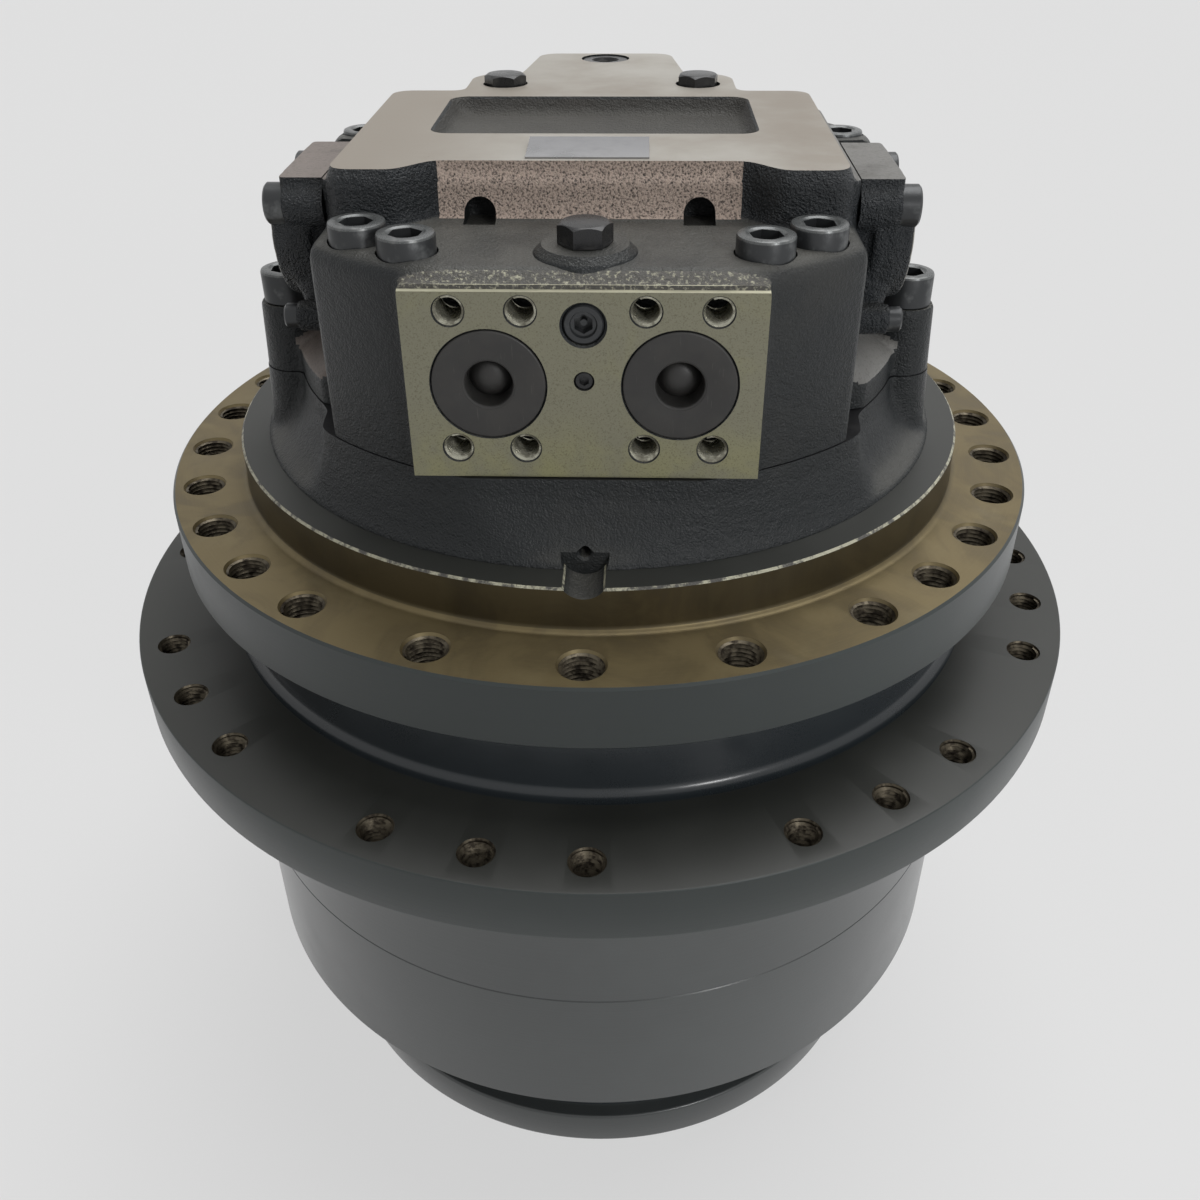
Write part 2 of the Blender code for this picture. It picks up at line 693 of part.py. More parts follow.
def make_hub(parent):
    ledge_low = LOWER_BEARING_Z + BEARING_WIDTH + SEAT
    ledge_high = UPPER_BEARING_Z - SEAT
    shell = turned([
        (BEARING_BORE_RADIUS, HUB_Z), (DRUM_RADIUS, HUB_Z), (DRUM_RADIUS, SPROCKET_TOP),
        (NECK_FOOT_RADIUS + NECK_FILLET, SPROCKET_TOP), (NECK_FOOT_RADIUS, SPROCKET_TOP + NECK_FILLET),
        (NECK_TOP_RADIUS, HUB_TOP), (BEARING_BORE_RADIUS, HUB_TOP), (BEARING_BORE_RADIUS, ledge_high),
        (HUB_LEDGE_RADIUS, ledge_high), (HUB_LEDGE_RADIUS, ledge_low), (BEARING_BORE_RADIUS, ledge_low),
    ], WIDE_FACETS)
    hang(node('sprocket_hub', shell, 'painted_steel'), parent)


def make_sprocket_flange(parent):
    """The flange is a ring of its own, so that the sprocket's seat below it stays clear."""
    inner = DRUM_RADIUS + SEAT
    ring = turned([
        (inner, SPROCKET_Z), (SPROCKET_RADIUS - SPROCKET_CHAMFER, SPROCKET_Z),
        (SPROCKET_RADIUS, SPROCKET_Z + SPROCKET_CHAMFER), (SPROCKET_RADIUS, SPROCKET_TOP - SPROCKET_CHAMFER),
        (SPROCKET_RADIUS - SPROCKET_CHAMFER, SPROCKET_TOP), (inner, SPROCKET_TOP),
    ], WIDE_FACETS)
    flange = node('sprocket_flange', ring, 'painted_steel')
    holes = []
    for slot in range(SPROCKET_DIVISIONS):
        if slot % SPROCKET_GROUP == 1:
            continue
        x, y = around(SPROCKET_PITCH_RADIUS, SPROCKET_TURN + 360 * slot / SPROCKET_DIVISIONS)
        hole = disc(SPROCKET_HOLE_RADIUS, SPROCKET_Z - OVERRUN, SPROCKET_TOP + OVERRUN, HOLE_FACETS)
        holes.append(moved(hole, (x, y, 0)))
    cut(flange, several(holes))
    hang(flange, parent)


# Bearings, nut and seal between the hub and the spindle
def make_main_bearing(name, low, case, hub, balls):
    high = low + BEARING_WIDTH
    ball_inner = BALL_PITCH_RADIUS - BALL_RADIUS
    seat = bore_for(BEARING_SEAT_RADIUS, WIDE_FACETS)
    inner = disc(inside(ball_inner, WIDE_FACETS), low, high, WIDE_FACETS, seat)
    hang(node(name + '_inner_race', inner, 'gear_steel'), case)
    outer = disc(inside(BEARING_BORE_RADIUS, WIDE_FACETS), low, high, ROUND_FACETS,
                 bore_for(BALL_PITCH_RADIUS + BALL_RADIUS))
    hang(node(name + '_outer_race', outer, 'gear_steel'), hub)
    middle = (low + high) / 2
    ring = [(BALL_PITCH_RADIUS + BALL_RADIUS * math.cos(math.tau * i / BALL_SIDES),
             middle + BALL_RADIUS * math.sin(math.tau * i / BALL_SIDES)) for i in range(BALL_SIDES)]
    hang(node(name + '_balls', turned(ring, WIDE_FACETS), 'bearing_bronze'), balls)


def make_preload_nut(parent):
    high = LOWER_BEARING_Z - SEAT
    low = high - NUT_WIDTH
    bore = bore_for(SPINDLE_THREAD_RADIUS)
    nut = node('preload_nut', disc(NUT_RADIUS, low, high, ROUND_FACETS, bore), 'gear_steel')
    notches = []
    for i in range(NUT_NOTCHES):
        half = NUT_NOTCH_WIDTH / 2
        slot = prism([(NUT_RADIUS - NUT_NOTCH_DEPTH, -half), (NUT_RADIUS + OVERRUN, -half),
                      (NUT_RADIUS + OVERRUN, half), (NUT_RADIUS - NUT_NOTCH_DEPTH, half)],
                     low - OVERRUN, high + OVERRUN)
        notches.append(moved(slot, turn=Matrix.Rotation(math.tau * i / NUT_NOTCHES, 4, 'Z')))
    cut(nut, several(notches))
    hang(nut, parent)


def make_face_seal(case, hub):
    """Two lapped rings: the fixed one hangs from the frame flange, the other turns on the upper bearing."""
    high = FLANGE_Z - SEAT
    middle = high - SEAL_HEIGHT
    low = UPPER_BEARING_Z + BEARING_WIDTH + SEAT
    inner = SEAL_RADIUS - SEAL_WALL
    fixed = turned([(inner, middle), (SEAL_RADIUS - SEAL_WALL / 2, middle), (SEAL_RADIUS, high), (inner, high)])
    hang(node('seal_ring_fixed', fixed, 'gear_steel'), case)
    turning = disc(inside(BEARING_BORE_RADIUS, WIDE_FACETS), low, middle - SEAT, ROUND_FACETS, inner)
    hang(node('seal_ring_turning', turning, 'gear_steel'), hub)


# Planetary train
def make_planets(number, low, width, pin_radius, parents):
    bore = bore_for(pin_radius, SMALL_FACETS)
    for i in range(PLANETS):
        name = 'planet_gear_%d_%d' % (number, i + 1)
        turn = planet_turn(math.tau * i / PLANETS)
        hang(gear(name, PLANET_TEETH, low, low + width, bore, turn), parents[i])


def planet_centre(i):
    turn = math.tau * i / PLANETS
    return CENTRE_DISTANCE * math.cos(turn), CENTRE_DISTANCE * math.sin(turn), 0


def make_pin(name, radius, head_top, high, parent, place):
    head = radius + PIN_HEAD_STEP
    pin = turned([(0, head_top - PIN_HEAD_THICKNESS), (head, head_top - PIN_HEAD_THICKNESS), (head, head_top),
                  (radius, head_top), (radius, high), (0, high)], SMALL_FACETS)
    made = node(name, pin, 'gear_steel')
    hang(made, parent, place)


def make_carrier_1(parent):
    plate = disc(CARRIER1_RADIUS, CARRIER1_Z, CARRIER1_TOP, ROUND_FACETS, bore_for(SUN2_BOSS_RADIUS))
    carrier = node('carrier_1', plate, 'gear_steel')
    holes = []
    for i in range(PLANETS):
        hole = disc(bore_for(PIN1_RADIUS, SMALL_FACETS), CARRIER1_Z - OVERRUN, CARRIER1_TOP + OVERRUN, SMALL_FACETS)
        holes.append(moved(hole, planet_centre(i)))
        window = disc(CARRIER1_WINDOW_RADIUS, CARRIER1_Z - OVERRUN, CARRIER1_TOP + OVERRUN, SMALL_FACETS)
        holes.append(moved(window, planet_centre(i + 0.5)))
    cut(carrier, several(holes))
    hang(carrier, parent)
    for i in range(PLANETS):
        make_pin('planet_pin_1_%d' % (i + 1), PIN1_RADIUS, STAGE1_Z - SEAT, CARRIER1_TOP, parent, planet_centre(i))


def make_carrier_2(parent):
    high = SPINDLE_Z - SEAT
    through = bore_for(SHAFT_LOWER_RADIUS, ROUND_FACETS, SHAFT_PLAY)
    boss = inside(CARRIER2_BOSS_RADIUS, ROUND_FACETS)
    plate = turned([
        (through, CARRIER2_Z), (CARRIER2_RADIUS, CARRIER2_Z), (CARRIER2_RADIUS, high), (boss, high),
        (boss, high + CARRIER2_BOSS_HEIGHT), (through, high + CARRIER2_BOSS_HEIGHT),
    ], ROUND_FACETS)
    carrier = node('carrier_2', plate, 'gear_steel')
    holes = []
    for i in range(PLANETS):
        hole = disc(bore_for(PIN2_RADIUS, SMALL_FACETS), CARRIER2_Z - OVERRUN, high + OVERRUN, SMALL_FACETS)
        holes.append(moved(hole, planet_centre(i)))
    cut(carrier, several(holes))
    hang(carrier, parent)
    for i in range(PLANETS):
        make_pin('planet_pin_2_%d' % (i + 1), PIN2_RADIUS, STAGE2_Z - SEAT, high, parent, planet_centre(i))


def make_suns(shaft, carrier1):
    bore = bore_for(SHAFT_END_RADIUS, SMALL_FACETS)
    hang(gear('sun_gear_1', SUN_TEETH, STAGE1_Z, STAGE1_TOP, bore, sun_turn()), shaft)
    teeth = prism(teeth_line(SUN_TEETH), STAGE2_Z, STAGE2_TOP)
    bmesh.ops.rotate(teeth, cent=(0, 0, 0), matrix=Matrix.Rotation(sun_turn(), 3, 'Z'), verts=teeth.verts)
    sun = node('sun_gear_2', teeth, 'gear_steel', smooth=False)
    add(sun, disc(SUN2_BOSS_RADIUS, CARRIER1_Z, STAGE2_Z + OVERRUN, ROUND_FACETS))
    through = bore_for(SHAFT_LOWER_RADIUS, SMALL_FACETS, SHAFT_PLAY)
    cut(sun, disc(through, CARRIER1_Z - OVERRUN, STAGE2_TOP + OVERRUN, SMALL_FACETS))
    hang(sun, carrier1)


# Motor case: frame flange, pilot, spindle and the casing round the motor
def flange_hole_angles():
    wide = [0, FLANGE_WIDE_STEP, FLANGE_CLOSE_FROM]
    close = list(range(FLANGE_CLOSE_FROM + FLANGE_CLOSE_STEP, 180 - FLANGE_CLOSE_FROM, FLANGE_CLOSE_STEP))
    half = wide + close + [180 - FLANGE_CLOSE_FROM, 180 - FLANGE_WIDE_STEP]
    return half + [180] + [-a for a in half if a]


def make_frame_flange(parent):
    """The flange is a ring of its own, so that the frame's seat round the pilot stays clear."""
    inner = PILOT_RADIUS + SEAT
    ring = turned([
        (inner, FLANGE_Z), (FLANGE_RADIUS - FLANGE_CHAMFER, FLANGE_Z), (FLANGE_RADIUS, FLANGE_Z + FLANGE_CHAMFER),
        (FLANGE_RADIUS, FLANGE_TOP - FLANGE_CHAMFER), (FLANGE_RADIUS - FLANGE_CHAMFER, FLANGE_TOP),
        (inner, FLANGE_TOP),
    ], WIDE_FACETS)
    flange = node('frame_flange', ring, 'bare_casting')
    holes = []
    for angle in flange_hole_angles():
        x, y = around(FLANGE_PITCH_RADIUS, angle)
        hole = disc(FLANGE_HOLE_RADIUS, FLANGE_TOP - FLANGE_HOLE_DEPTH, FLANGE_TOP + OVERRUN, HOLE_FACETS)
        holes.append(moved(hole, (x, y, 0)))
    cut(flange, several(holes))
    hang(flange, parent)


def make_motor_case(parent):
    shoulder = UPPER_BEARING_Z + BEARING_WIDTH + SEAT
    body = turned([
        (0, FLANGE_Z), (PILOT_RADIUS, FLANGE_Z), (PILOT_RADIUS, PILOT_TOP - PILOT_CHAMFER),
        (PILOT_RADIUS - PILOT_CHAMFER, PILOT_TOP), (0, PILOT_TOP),
    ], WIDE_FACETS)
    case = node('motor_case', body, 'painted_casting')
    add(case, turned([
        (0, SPINDLE_Z), (SPINDLE_THREAD_RADIUS, SPINDLE_Z), (SPINDLE_THREAD_RADIUS, LOWER_BEARING_Z - SEAT),
        (BEARING_SEAT_RADIUS, LOWER_BEARING_Z - SEAT), (BEARING_SEAT_RADIUS, shoulder),
        (SPINDLE_SHOULDER_RADIUS, shoulder), (SPINDLE_SHOULDER_RADIUS, FLANGE_Z + OVERRUN),
        (0, FLANGE_Z + OVERRUN),
    ]))
    foot = CASE_NOSE_RADIUS + CASE_NOSE_FLARE
    lower = casing_outline(foot, CASE_WAIST_RADIUS + CASE_WAIST_FLARE, foot - CASE_FRONT_SETBACK)
    upper = casing_outline(CASE_NOSE_RADIUS, CASE_WAIST_RADIUS, PORT_FACE_FRONT - PORT_FACE_PROUD)
    add(case, loft(lower, PILOT_TOP - OVERRUN, upper, JOINT_Z))
    bosses = []
    for side in (-1, 1):
        x, y = around(SIDE_BOLT_PITCH_RADIUS, side * SIDE_BOLT_ANGLE)
        bosses.append(moved(disc(SIDE_BOSS_RADIUS, PILOT_TOP - OVERRUN, JOINT_Z, SMALL_FACETS), (x, y, 0)))
    add(case, several(bosses))
    web_top = CAVITY_FLOOR - SHAFT_BEARING_WIDTH
    socket_top = SPINDLE_Z + CARRIER2_BOSS_HEIGHT
    through = bore_for(SHAFT_RADIUS, ROUND_FACETS, SHAFT_PLAY)
    cut(case, turned([
        (0, SPINDLE_Z - OVERRUN), (CARRIER2_BOSS_RADIUS, SPINDLE_Z - OVERRUN), (CARRIER2_BOSS_RADIUS, socket_top),
        (through, socket_top), (through, web_top),
        (SHAFT_BEARING_RADIUS, web_top), (SHAFT_BEARING_RADIUS, CAVITY_FLOOR), (CAVITY_STEP_RADIUS, CAVITY_FLOOR),
        (CAVITY_STEP_RADIUS, BRAKE_LEDGE), (CAVITY_RADIUS, BRAKE_LEDGE), (CAVITY_RADIUS, JOINT_Z + OVERRUN),
        (0, JOINT_Z + OVERRUN),
    ], ROUND_FACETS))
    spot_z = PILOT_TOP + SPOT_RISE
    spot = bored(disc(SPOT_RADIUS, PILOT_RADIUS - SPOT_DEPTH, PILOT_RADIUS + OVERRUN, SMALL_FACETS))
    bore_start = PILOT_RADIUS - SPOT_DEPTH - SPOT_BORE_DEPTH
    bore = bored(disc(SPOT_BORE_RADIUS, bore_start, PILOT_RADIUS - SPOT_DEPTH + SEAT, HOLE_FACETS))
    cut(case, moved(spot, (0, 0, spot_z)))
    cut(case, moved(bore, (0, 0, spot_z)))
    joint_bolt_holes(case)
    hang(case, parent)


def cover_bolt_places():
    places = []
    for side in (-1, 1):
        for angles, sink in ((FRONT_BOLT_ANGLES, BOLT_SINK), (BACK_BOLT_ANGLES, BACK_BOLT_SINK)):
            for angle in angles:
                x, y = around(COVER_BOLT_PITCH_RADIUS, side * angle)
                places.append((x, y, BODY_TOP - sink))
        x, y = around(SIDE_BOLT_PITCH_RADIUS, side * SIDE_BOLT_ANGLE)
        places.append((x, y, COVER_Z + SIDE_BOSS_HEIGHT - SIDE_BOLT_SINK))
    return places


def joint_bolt_holes(case):
    """Only the side bolts reach down past the joint."""
    holes = []
    for x, y, seat in cover_bolt_places():
        low = seat - BOLT_SHANK_LENGTH - OVERRUN
        if low < JOINT_Z:
            holes.append(moved(disc(BOLT_SHANK_RADIUS + SEAT, low, JOINT_Z + OVERRUN, SMALL_FACETS), (x, y, 0)))
    if holes:
        cut(case, several(holes))


# Motor inside the case
def make_drive_shaft(parent):
    top = JOINT_Z + SHAFT_TOP_LENGTH
    step = CAVITY_FLOOR - SHAFT_BEARING_WIDTH
    shaft = turned([
        (0, STAGE1_Z), (SHAFT_END_RADIUS, STAGE1_Z), (SHAFT_END_RADIUS, STAGE1_TOP + SEAT),
        (SHAFT_LOWER_RADIUS, STAGE1_TOP + SEAT), (SHAFT_LOWER_RADIUS, step), (SHAFT_RADIUS, step),
        (SHAFT_RADIUS, JOINT_Z), (SHAFT_TOP_RADIUS, JOINT_Z), (SHAFT_TOP_RADIUS, top), (0, top),
    ])
    hang(node('drive_shaft', shaft, 'gear_steel'), parent)


def make_shaft_bearings(parent):
    low = CAVITY_FLOOR - SHAFT_BEARING_WIDTH + SEAT
    lower = disc(inside(SHAFT_BEARING_RADIUS, ROUND_FACETS), low, CAVITY_FLOOR - SEAT, ROUND_FACETS,
                 bore_for(SHAFT_RADIUS))
    hang(node('shaft_bearing_lower', lower, 'bearing_bronze'), parent)
    upper = disc(inside(COVER_BEARING_RADIUS, ROUND_FACETS), COVER_Z + SEAT, COVER_Z + SHAFT_BEARING_WIDTH - SEAT,
                 ROUND_FACETS, bore_for(SHAFT_TOP_RADIUS))
    hang(node('shaft_bearing_upper', upper, 'bearing_bronze'), parent)


def make_cylinder_block(parent):
    barrel = disc(BLOCK_RADIUS, BLOCK_Z, BLOCK_TOP, ROUND_FACETS, bore_for(SHAFT_RADIUS))
    block = node('cylinder_block', barrel, 'gear_steel')
    pistons = []
    for i in range(PISTONS):
        x, y = around(PISTON_PITCH_RADIUS, 360 * i / PISTONS)
        piston = disc(PISTON_RADIUS, BLOCK_Z - PISTON_REACH, BLOCK_Z + OVERRUN, HOLE_FACETS)
        pistons.append(moved(piston, (x, y, 0)))
    add(block, several(pistons))
    hang(block, parent)
    retainer = disc(BLOCK_RADIUS, RETAINER_Z, RETAINER_TOP, ROUND_FACETS, RETAINER_BORE)
    hang(node('shoe_retainer', retainer, 'bearing_bronze'), parent)


def make_swash_plate(parent):
    plate = disc(SWASH_RADIUS, SWASH_TOP - SWASH_THICKNESS, SWASH_TOP, ROUND_FACETS)
    swash = node('swash_plate', plate, 'gear_steel')
    cradle_radius = SWASH_TOP - CAVITY_FLOOR - SEAT
    for side in (-1, 1):
        rail = sideways(disc(cradle_radius, CRADLE_INNER, CRADLE_OUTER, ROUND_FACETS), side)
        moved(rail, (0, 0, SWASH_TOP))
        cap = [v for v in rail.verts if v.co.z > SWASH_TOP - SWASH_THICKNESS / 2]
        for v in cap:
            v.co.z = SWASH_TOP - SWASH_THICKNESS / 2
        bmesh.ops.remove_doubles(rail, verts=rail.verts, dist=WELD_DISTANCE)
        add(swash, rail)
    cut(swash, disc(RETAINER_BORE, CAVITY_FLOOR - OVERRUN, SWASH_TOP + OVERRUN, ROUND_FACETS))
    hang(swash, parent)


def make_valve_plate(parent):
    low = VALVE_PLATE_Z
    high = JOINT_Z
    bore = bore_for(SHAFT_RADIUS, ROUND_FACETS, SHAFT_PLAY)
    plate = node('valve_plate', disc(BLOCK_RADIUS, low, high, ROUND_FACETS, bore), 'bearing_bronze')
    half = KIDNEY_ANGLE / 2
    for middle in (0, 180):
        cut(plate, prism(kidney_outline(middle - half, middle + half), low - OVERRUN, high + OVERRUN))
    hang(plate, parent)


def make_brake(parent, slider):
    outer = inside(CAVITY_RADIUS, ROUND_FACETS)
    low = BRAKE_LEDGE + SEAT
    discs = disc(outer, low, low + BRAKE_DISCS_HEIGHT, ROUND_FACETS, BRAKE_INNER_RADIUS)
    hang(node('brake_discs', discs, 'friction_facing'), parent)
    base = low + BRAKE_DISCS_HEIGHT + SEAT
    top = base + BRAKE_PISTON_HEIGHT
    inner = outer - BRAKE_PISTON_WALL
    piston = turned([(inner, base), (outer, base), (outer, top), (inner + BRAKE_PISTON_LIP, top),
                     (inner + BRAKE_PISTON_LIP, top - BRAKE_PISTON_LIP), (inner, top - BRAKE_PISTON_LIP)],
                    ROUND_FACETS)
    hang(node('brake_piston', piston, 'gear_steel'), slider)


# Rear cover
def make_rear_cover(parent):
    outline = casing_outline(CASE_NOSE_RADIUS, CASE_WAIST_RADIUS, PORT_FACE_FRONT - PORT_FACE_PROUD)
    body = top_edges_rounded(prism(outline, COVER_Z, BODY_TOP), BODY_TOP, COVER_ROUND)
    cover = node('rear_cover', body, 'painted_casting')
    ahead = -CASE_NOSE_RADIUS
    for back, low in ((-SIDE_STEP_FRONT, COVER_Z - OVERRUN), (SIDE_STEP_BACK, COVER_Z + SIDE_STEP_HEIGHT)):
        steps = []
        for side in (-1, 1):
            near, far = sorted((side * (SIDE_HALF_WIDTH - SIDE_WALL_SETBACK), side * 2 * CASE_NOSE_RADIUS))
            box = [(near, ahead), (far, ahead), (far, back), (near, back)]
            steps.append(prism(box, low, PLATE_TOP))
        cut(cover, several(steps))
    front = PORT_FACE_FRONT
    half = PORT_FACE_HALF_WIDTH
    pad = rounded_box(-half, half, -front, 0, COVER_ROUND / 2, 2)
    add(cover, prism(pad, COVER_Z, FACE_TOP))
    add(cover, prism(plate_outline(), BODY_TOP - OVERRUN, PLATE_TOP))
    side_low = PLATE_TOP - CAP_TOP_DROP - CAP_HEIGHT
    side = rounded_box(-SIDE_HALF_WIDTH, SIDE_HALF_WIDTH, -CAP_FRONT, PLATE_BACK, CAP_CORNER / 3, 2)
    add(cover, prism(side, side_low, PLATE_TOP - CAP_TOP_DROP))
    tongue_front = PLATE_BACK
    tongue = rounded_box(-TONGUE_HALF_WIDTH, TONGUE_HALF_WIDTH, tongue_front, TONGUE_BACK, CAP_CORNER, 3)
    add(cover, prism(tongue, PLATE_TOP - TONGUE_DEPTH, PLATE_TOP - CAP_TOP_DROP))
    for side in (-1, 1):
        x, y = around(SIDE_BOLT_PITCH_RADIUS, side * SIDE_BOLT_ANGLE)
        boss = disc(SIDE_BOSS_RADIUS, COVER_Z + SEAT, COVER_Z + SIDE_BOSS_HEIGHT, SMALL_FACETS)
        add(cover, moved(boss, (x, y, 0)))
    boss = turned([(0, BODY_TOP - OVERRUN), (FRONT_BOSS_RADIUS, BODY_TOP - OVERRUN),
                   (FRONT_BOSS_RADIUS, BODY_TOP + SEAT), (FRONT_BOSS_TOP_RADIUS, BODY_TOP + FRONT_BOSS_HEIGHT),
                   (0, BODY_TOP + FRONT_BOSS_HEIGHT)], SMALL_FACETS)
    add(cover, moved(boss, (0, -FRONT_PLUG_PLACE, 0)))
    slope = prism([(-PLATE_NOSE - NOSE_SLOPE, BODY_TOP - OVERRUN), (-PLATE_NOSE + NOSE_SLOPE, BODY_TOP - OVERRUN),
                   (-PLATE_NOSE + NOSE_SLOPE, PLATE_TOP - SEAT), (-PLATE_NOSE - SEAT, PLATE_TOP - SEAT)],
                  -PLATE_NOSE_HALF_WIDTH, PLATE_NOSE_HALF_WIDTH)
    stand = Matrix(((0, 0, 1, 0), (1, 0, 0, 0), (0, 1, 0, 0), (0, 0, 0, 1)))
    add(cover, moved(slope, turn=stand))
    cut_cover(cover)
    hang(cover, parent)


def cut_cover(cover):
    pocket_low = PLATE_TOP - POCKET_DEPTH
    rise = POCKET_SLOPE * (POCKET_DEPTH + OVERRUN) / POCKET_DEPTH
    floor = rounded_box(-POCKET_HALF_WIDTH + POCKET_SLOPE, POCKET_HALF_WIDTH - POCKET_SLOPE,
                        -POCKET_FRONT + POCKET_SLOPE, POCKET_BACK - POCKET_SLOPE, CAP_CORNER / 2)
    grow = POCKET_SLOPE - rise
    mouth = rounded_box(-POCKET_HALF_WIDTH + grow, POCKET_HALF_WIDTH - grow,
                        -POCKET_FRONT + grow, POCKET_BACK - grow, CAP_CORNER / 2)
    shapes = [loft(floor, pocket_low, mouth, PLATE_TOP + OVERRUN)]
    shank = BOLT_SHANK_RADIUS + SEAT
    head = BOLT_HEAD_RADIUS + SEAT
    for x, y, seat in cover_bolt_places():
        low = max(seat - BOLT_SHANK_LENGTH - OVERRUN, COVER_Z - OVERRUN)
        shape = turned([(0, low), (shank, low), (shank, seat), (head, seat),
                        (head, PLATE_TOP + OVERRUN), (0, PLATE_TOP + OVERRUN)], SMALL_FACETS)
        shapes.append(moved(shape, (x, y, 0)))
    for side in (-1, 1):
        groove = bored(disc(NOSE_GROOVE_RADIUS, PLATE_NOSE - OVERRUN, PLATE_NOSE + NOSE_GROOVE_REACH, SMALL_FACETS))
        shapes.append(moved(groove, (side * NOSE_GROOVE_OFFSET, 0, BODY_TOP + NOSE_GROOVE_RISE)))
    boss_top = BODY_TOP + FRONT_BOSS_HEIGHT
    stem = HEX_STEM_RADIUS + SEAT
    front = disc(stem, boss_top - HEX_STEM_LENGTH - OVERRUN, boss_top + OVERRUN, SMALL_FACETS)
    shapes.append(moved(front, (0, -FRONT_PLUG_PLACE, 0)))
    seat = PLATE_TOP - TOP_PLUG_SINK
    for side in (-1, 1):
        end = seat - HEX_STEM_LENGTH - OVERRUN
        shape = turned([(0, end), (stem, end), (stem, seat), (TOP_PLUG_SPOT_RADIUS, seat),
                        (TOP_PLUG_SPOT_RADIUS, PLATE_TOP + OVERRUN), (0, PLATE_TOP + OVERRUN)], SMALL_FACETS)
        shapes.append(moved(shape, (side * TOP_PLUG_OFFSET, TOP_PLUG_BACK, 0)))
    flush = disc(FLUSH_PLUG_RADIUS + SEAT, PLATE_TOP - FLUSH_PLUG_DEPTH - SEAT, PLATE_TOP + OVERRUN, SMALL_FACETS)
    shapes.append(moved(flush, (0, FLUSH_PLUG_BACK, 0)))
    bearing_top = COVER_Z + SHAFT_BEARING_WIDTH
    tip = SHAFT_TOP_RADIUS + SHAFT_PLAY
    tip_top = JOINT_Z + SHAFT_TOP_LENGTH + SHAFT_PLAY
    shapes.append(turned([(0, COVER_Z - OVERRUN), (COVER_BEARING_RADIUS, COVER_Z - OVERRUN),
                          (COVER_BEARING_RADIUS, bearing_top), (tip, bearing_top), (tip, tip_top), (0, tip_top)]))
    reach = SIDE_HALF_WIDTH + OVERRUN
    spool_bore = sideways(disc(SPOOL_RADIUS + SEAT, -reach, reach, SMALL_FACETS), 1)
    shapes.append(moved(spool_bore, (0, -SPOOL_PLACE, SPOOL_Z)))
    cut(cover, several(shapes + port_face_cuts()))


def port_face_cuts():
    shapes = []
    deep = PORT_FACE_FRONT - PORT_BOLT_DEPTH
    out = PORT_FACE_FRONT + OVERRUN
    for side in (-1, 1):
        for across in (-1, 1):
            for up in (-1, 1):
                x = side * PORT_SPACING / 2 + across * PORT_BOLTS_APART / 2
                z = PORT_Z + up * PORT_BOLTS_TALL / 2
                shapes.append(moved(bored(disc(PORT_BOLT_RADIUS, deep, out, HOLE_FACETS)), (x, 0, z)))
        seat = PORT_FACE_FRONT - PORT_PLUG_DEPTH - SEAT
        end = PORT_FACE_FRONT - PORT_BORE_DEPTH
        bore = turned([(0, end), (PORT_BORE_RADIUS, end), (PORT_BORE_RADIUS, seat), (PORT_PLUG_RADIUS + SEAT, seat),
                       (PORT_PLUG_RADIUS + SEAT, out), (0, out)], SMALL_FACETS)
        shapes.append(moved(bored(bore), (side * PORT_SPACING / 2, 0, PORT_Z)))
    seat = PORT_FACE_FRONT - FACE_PLUG_DEPTH - SEAT
    shapes.append(moved(bored(disc(FACE_PLUG_RADIUS + SEAT, seat, out, SMALL_FACETS)), (0, 0, JOINT_Z + FACE_PLUG_RISE)))
    return shapes


def make_port_plugs(parent):
    out = PORT_FACE_FRONT
    seat = out - PORT_PLUG_DEPTH
    for side, name in ((-1, 'port_plug_left'), (1, 'port_plug_right')):
        plug = turned([(0, seat - PORT_PLUG_DEPTH), (PORT_BORE_RADIUS - SEAT, seat - PORT_PLUG_DEPTH),
                       (PORT_BORE_RADIUS - SEAT, seat), (PORT_PLUG_RADIUS, seat), (PORT_PLUG_RADIUS, out),
                       (PORT_PLUG_RECESS_RADIUS, out), (PORT_PLUG_RECESS_RADIUS, out - PORT_PLUG_RECESS_DEPTH),
                       (0, out - PORT_PLUG_RECESS_DEPTH)], SMALL_FACETS)
        hang(node(name, bored(plug), 'black_plastic'), parent, (side * PORT_SPACING / 2, 0, PORT_Z))


def settled(prototype):
    """The prototype's mesh with its modifiers applied, for copies to share."""
    bpy.context.view_layer.update()
    view = bpy.context.evaluated_depsgraph_get()
    mesh = bpy.data.meshes.new_from_object(prototype.evaluated_get(view))
    guides = [m.object for m in prototype.modifiers]
    for old in [prototype] + guides:
        bpy.data.objects.remove(old)
    return mesh


def make_cover_bolts(parent):
    body = turned([(0, -BOLT_SHANK_LENGTH), (BOLT_SHANK_RADIUS, -BOLT_SHANK_LENGTH), (BOLT_SHANK_RADIUS, SEAT),
                   (BOLT_HEAD_RADIUS, SEAT), (BOLT_HEAD_RADIUS, BOLT_HEAD_HEIGHT), (0, BOLT_HEAD_HEIGHT)],
                  SMALL_FACETS)
    prototype = node('cover_bolt', body, 'black_bolt')
    flats = BOLT_HEAD_RADIUS * 2 * BOLT_SOCKET_SHARE
    cut(prototype, prism(hexagon(flats), BOLT_HEAD_HEIGHT - BOLT_SOCKET_DEPTH, BOLT_HEAD_HEIGHT + OVERRUN))
    mesh = settled(prototype)
    for number, place in enumerate(cover_bolt_places(), 1):
        bolt = bpy.data.objects.new('cover_bolt_%02d' % number, mesh)
        bpy.context.scene.collection.objects.link(bolt)
        hang(bolt, parent, place)


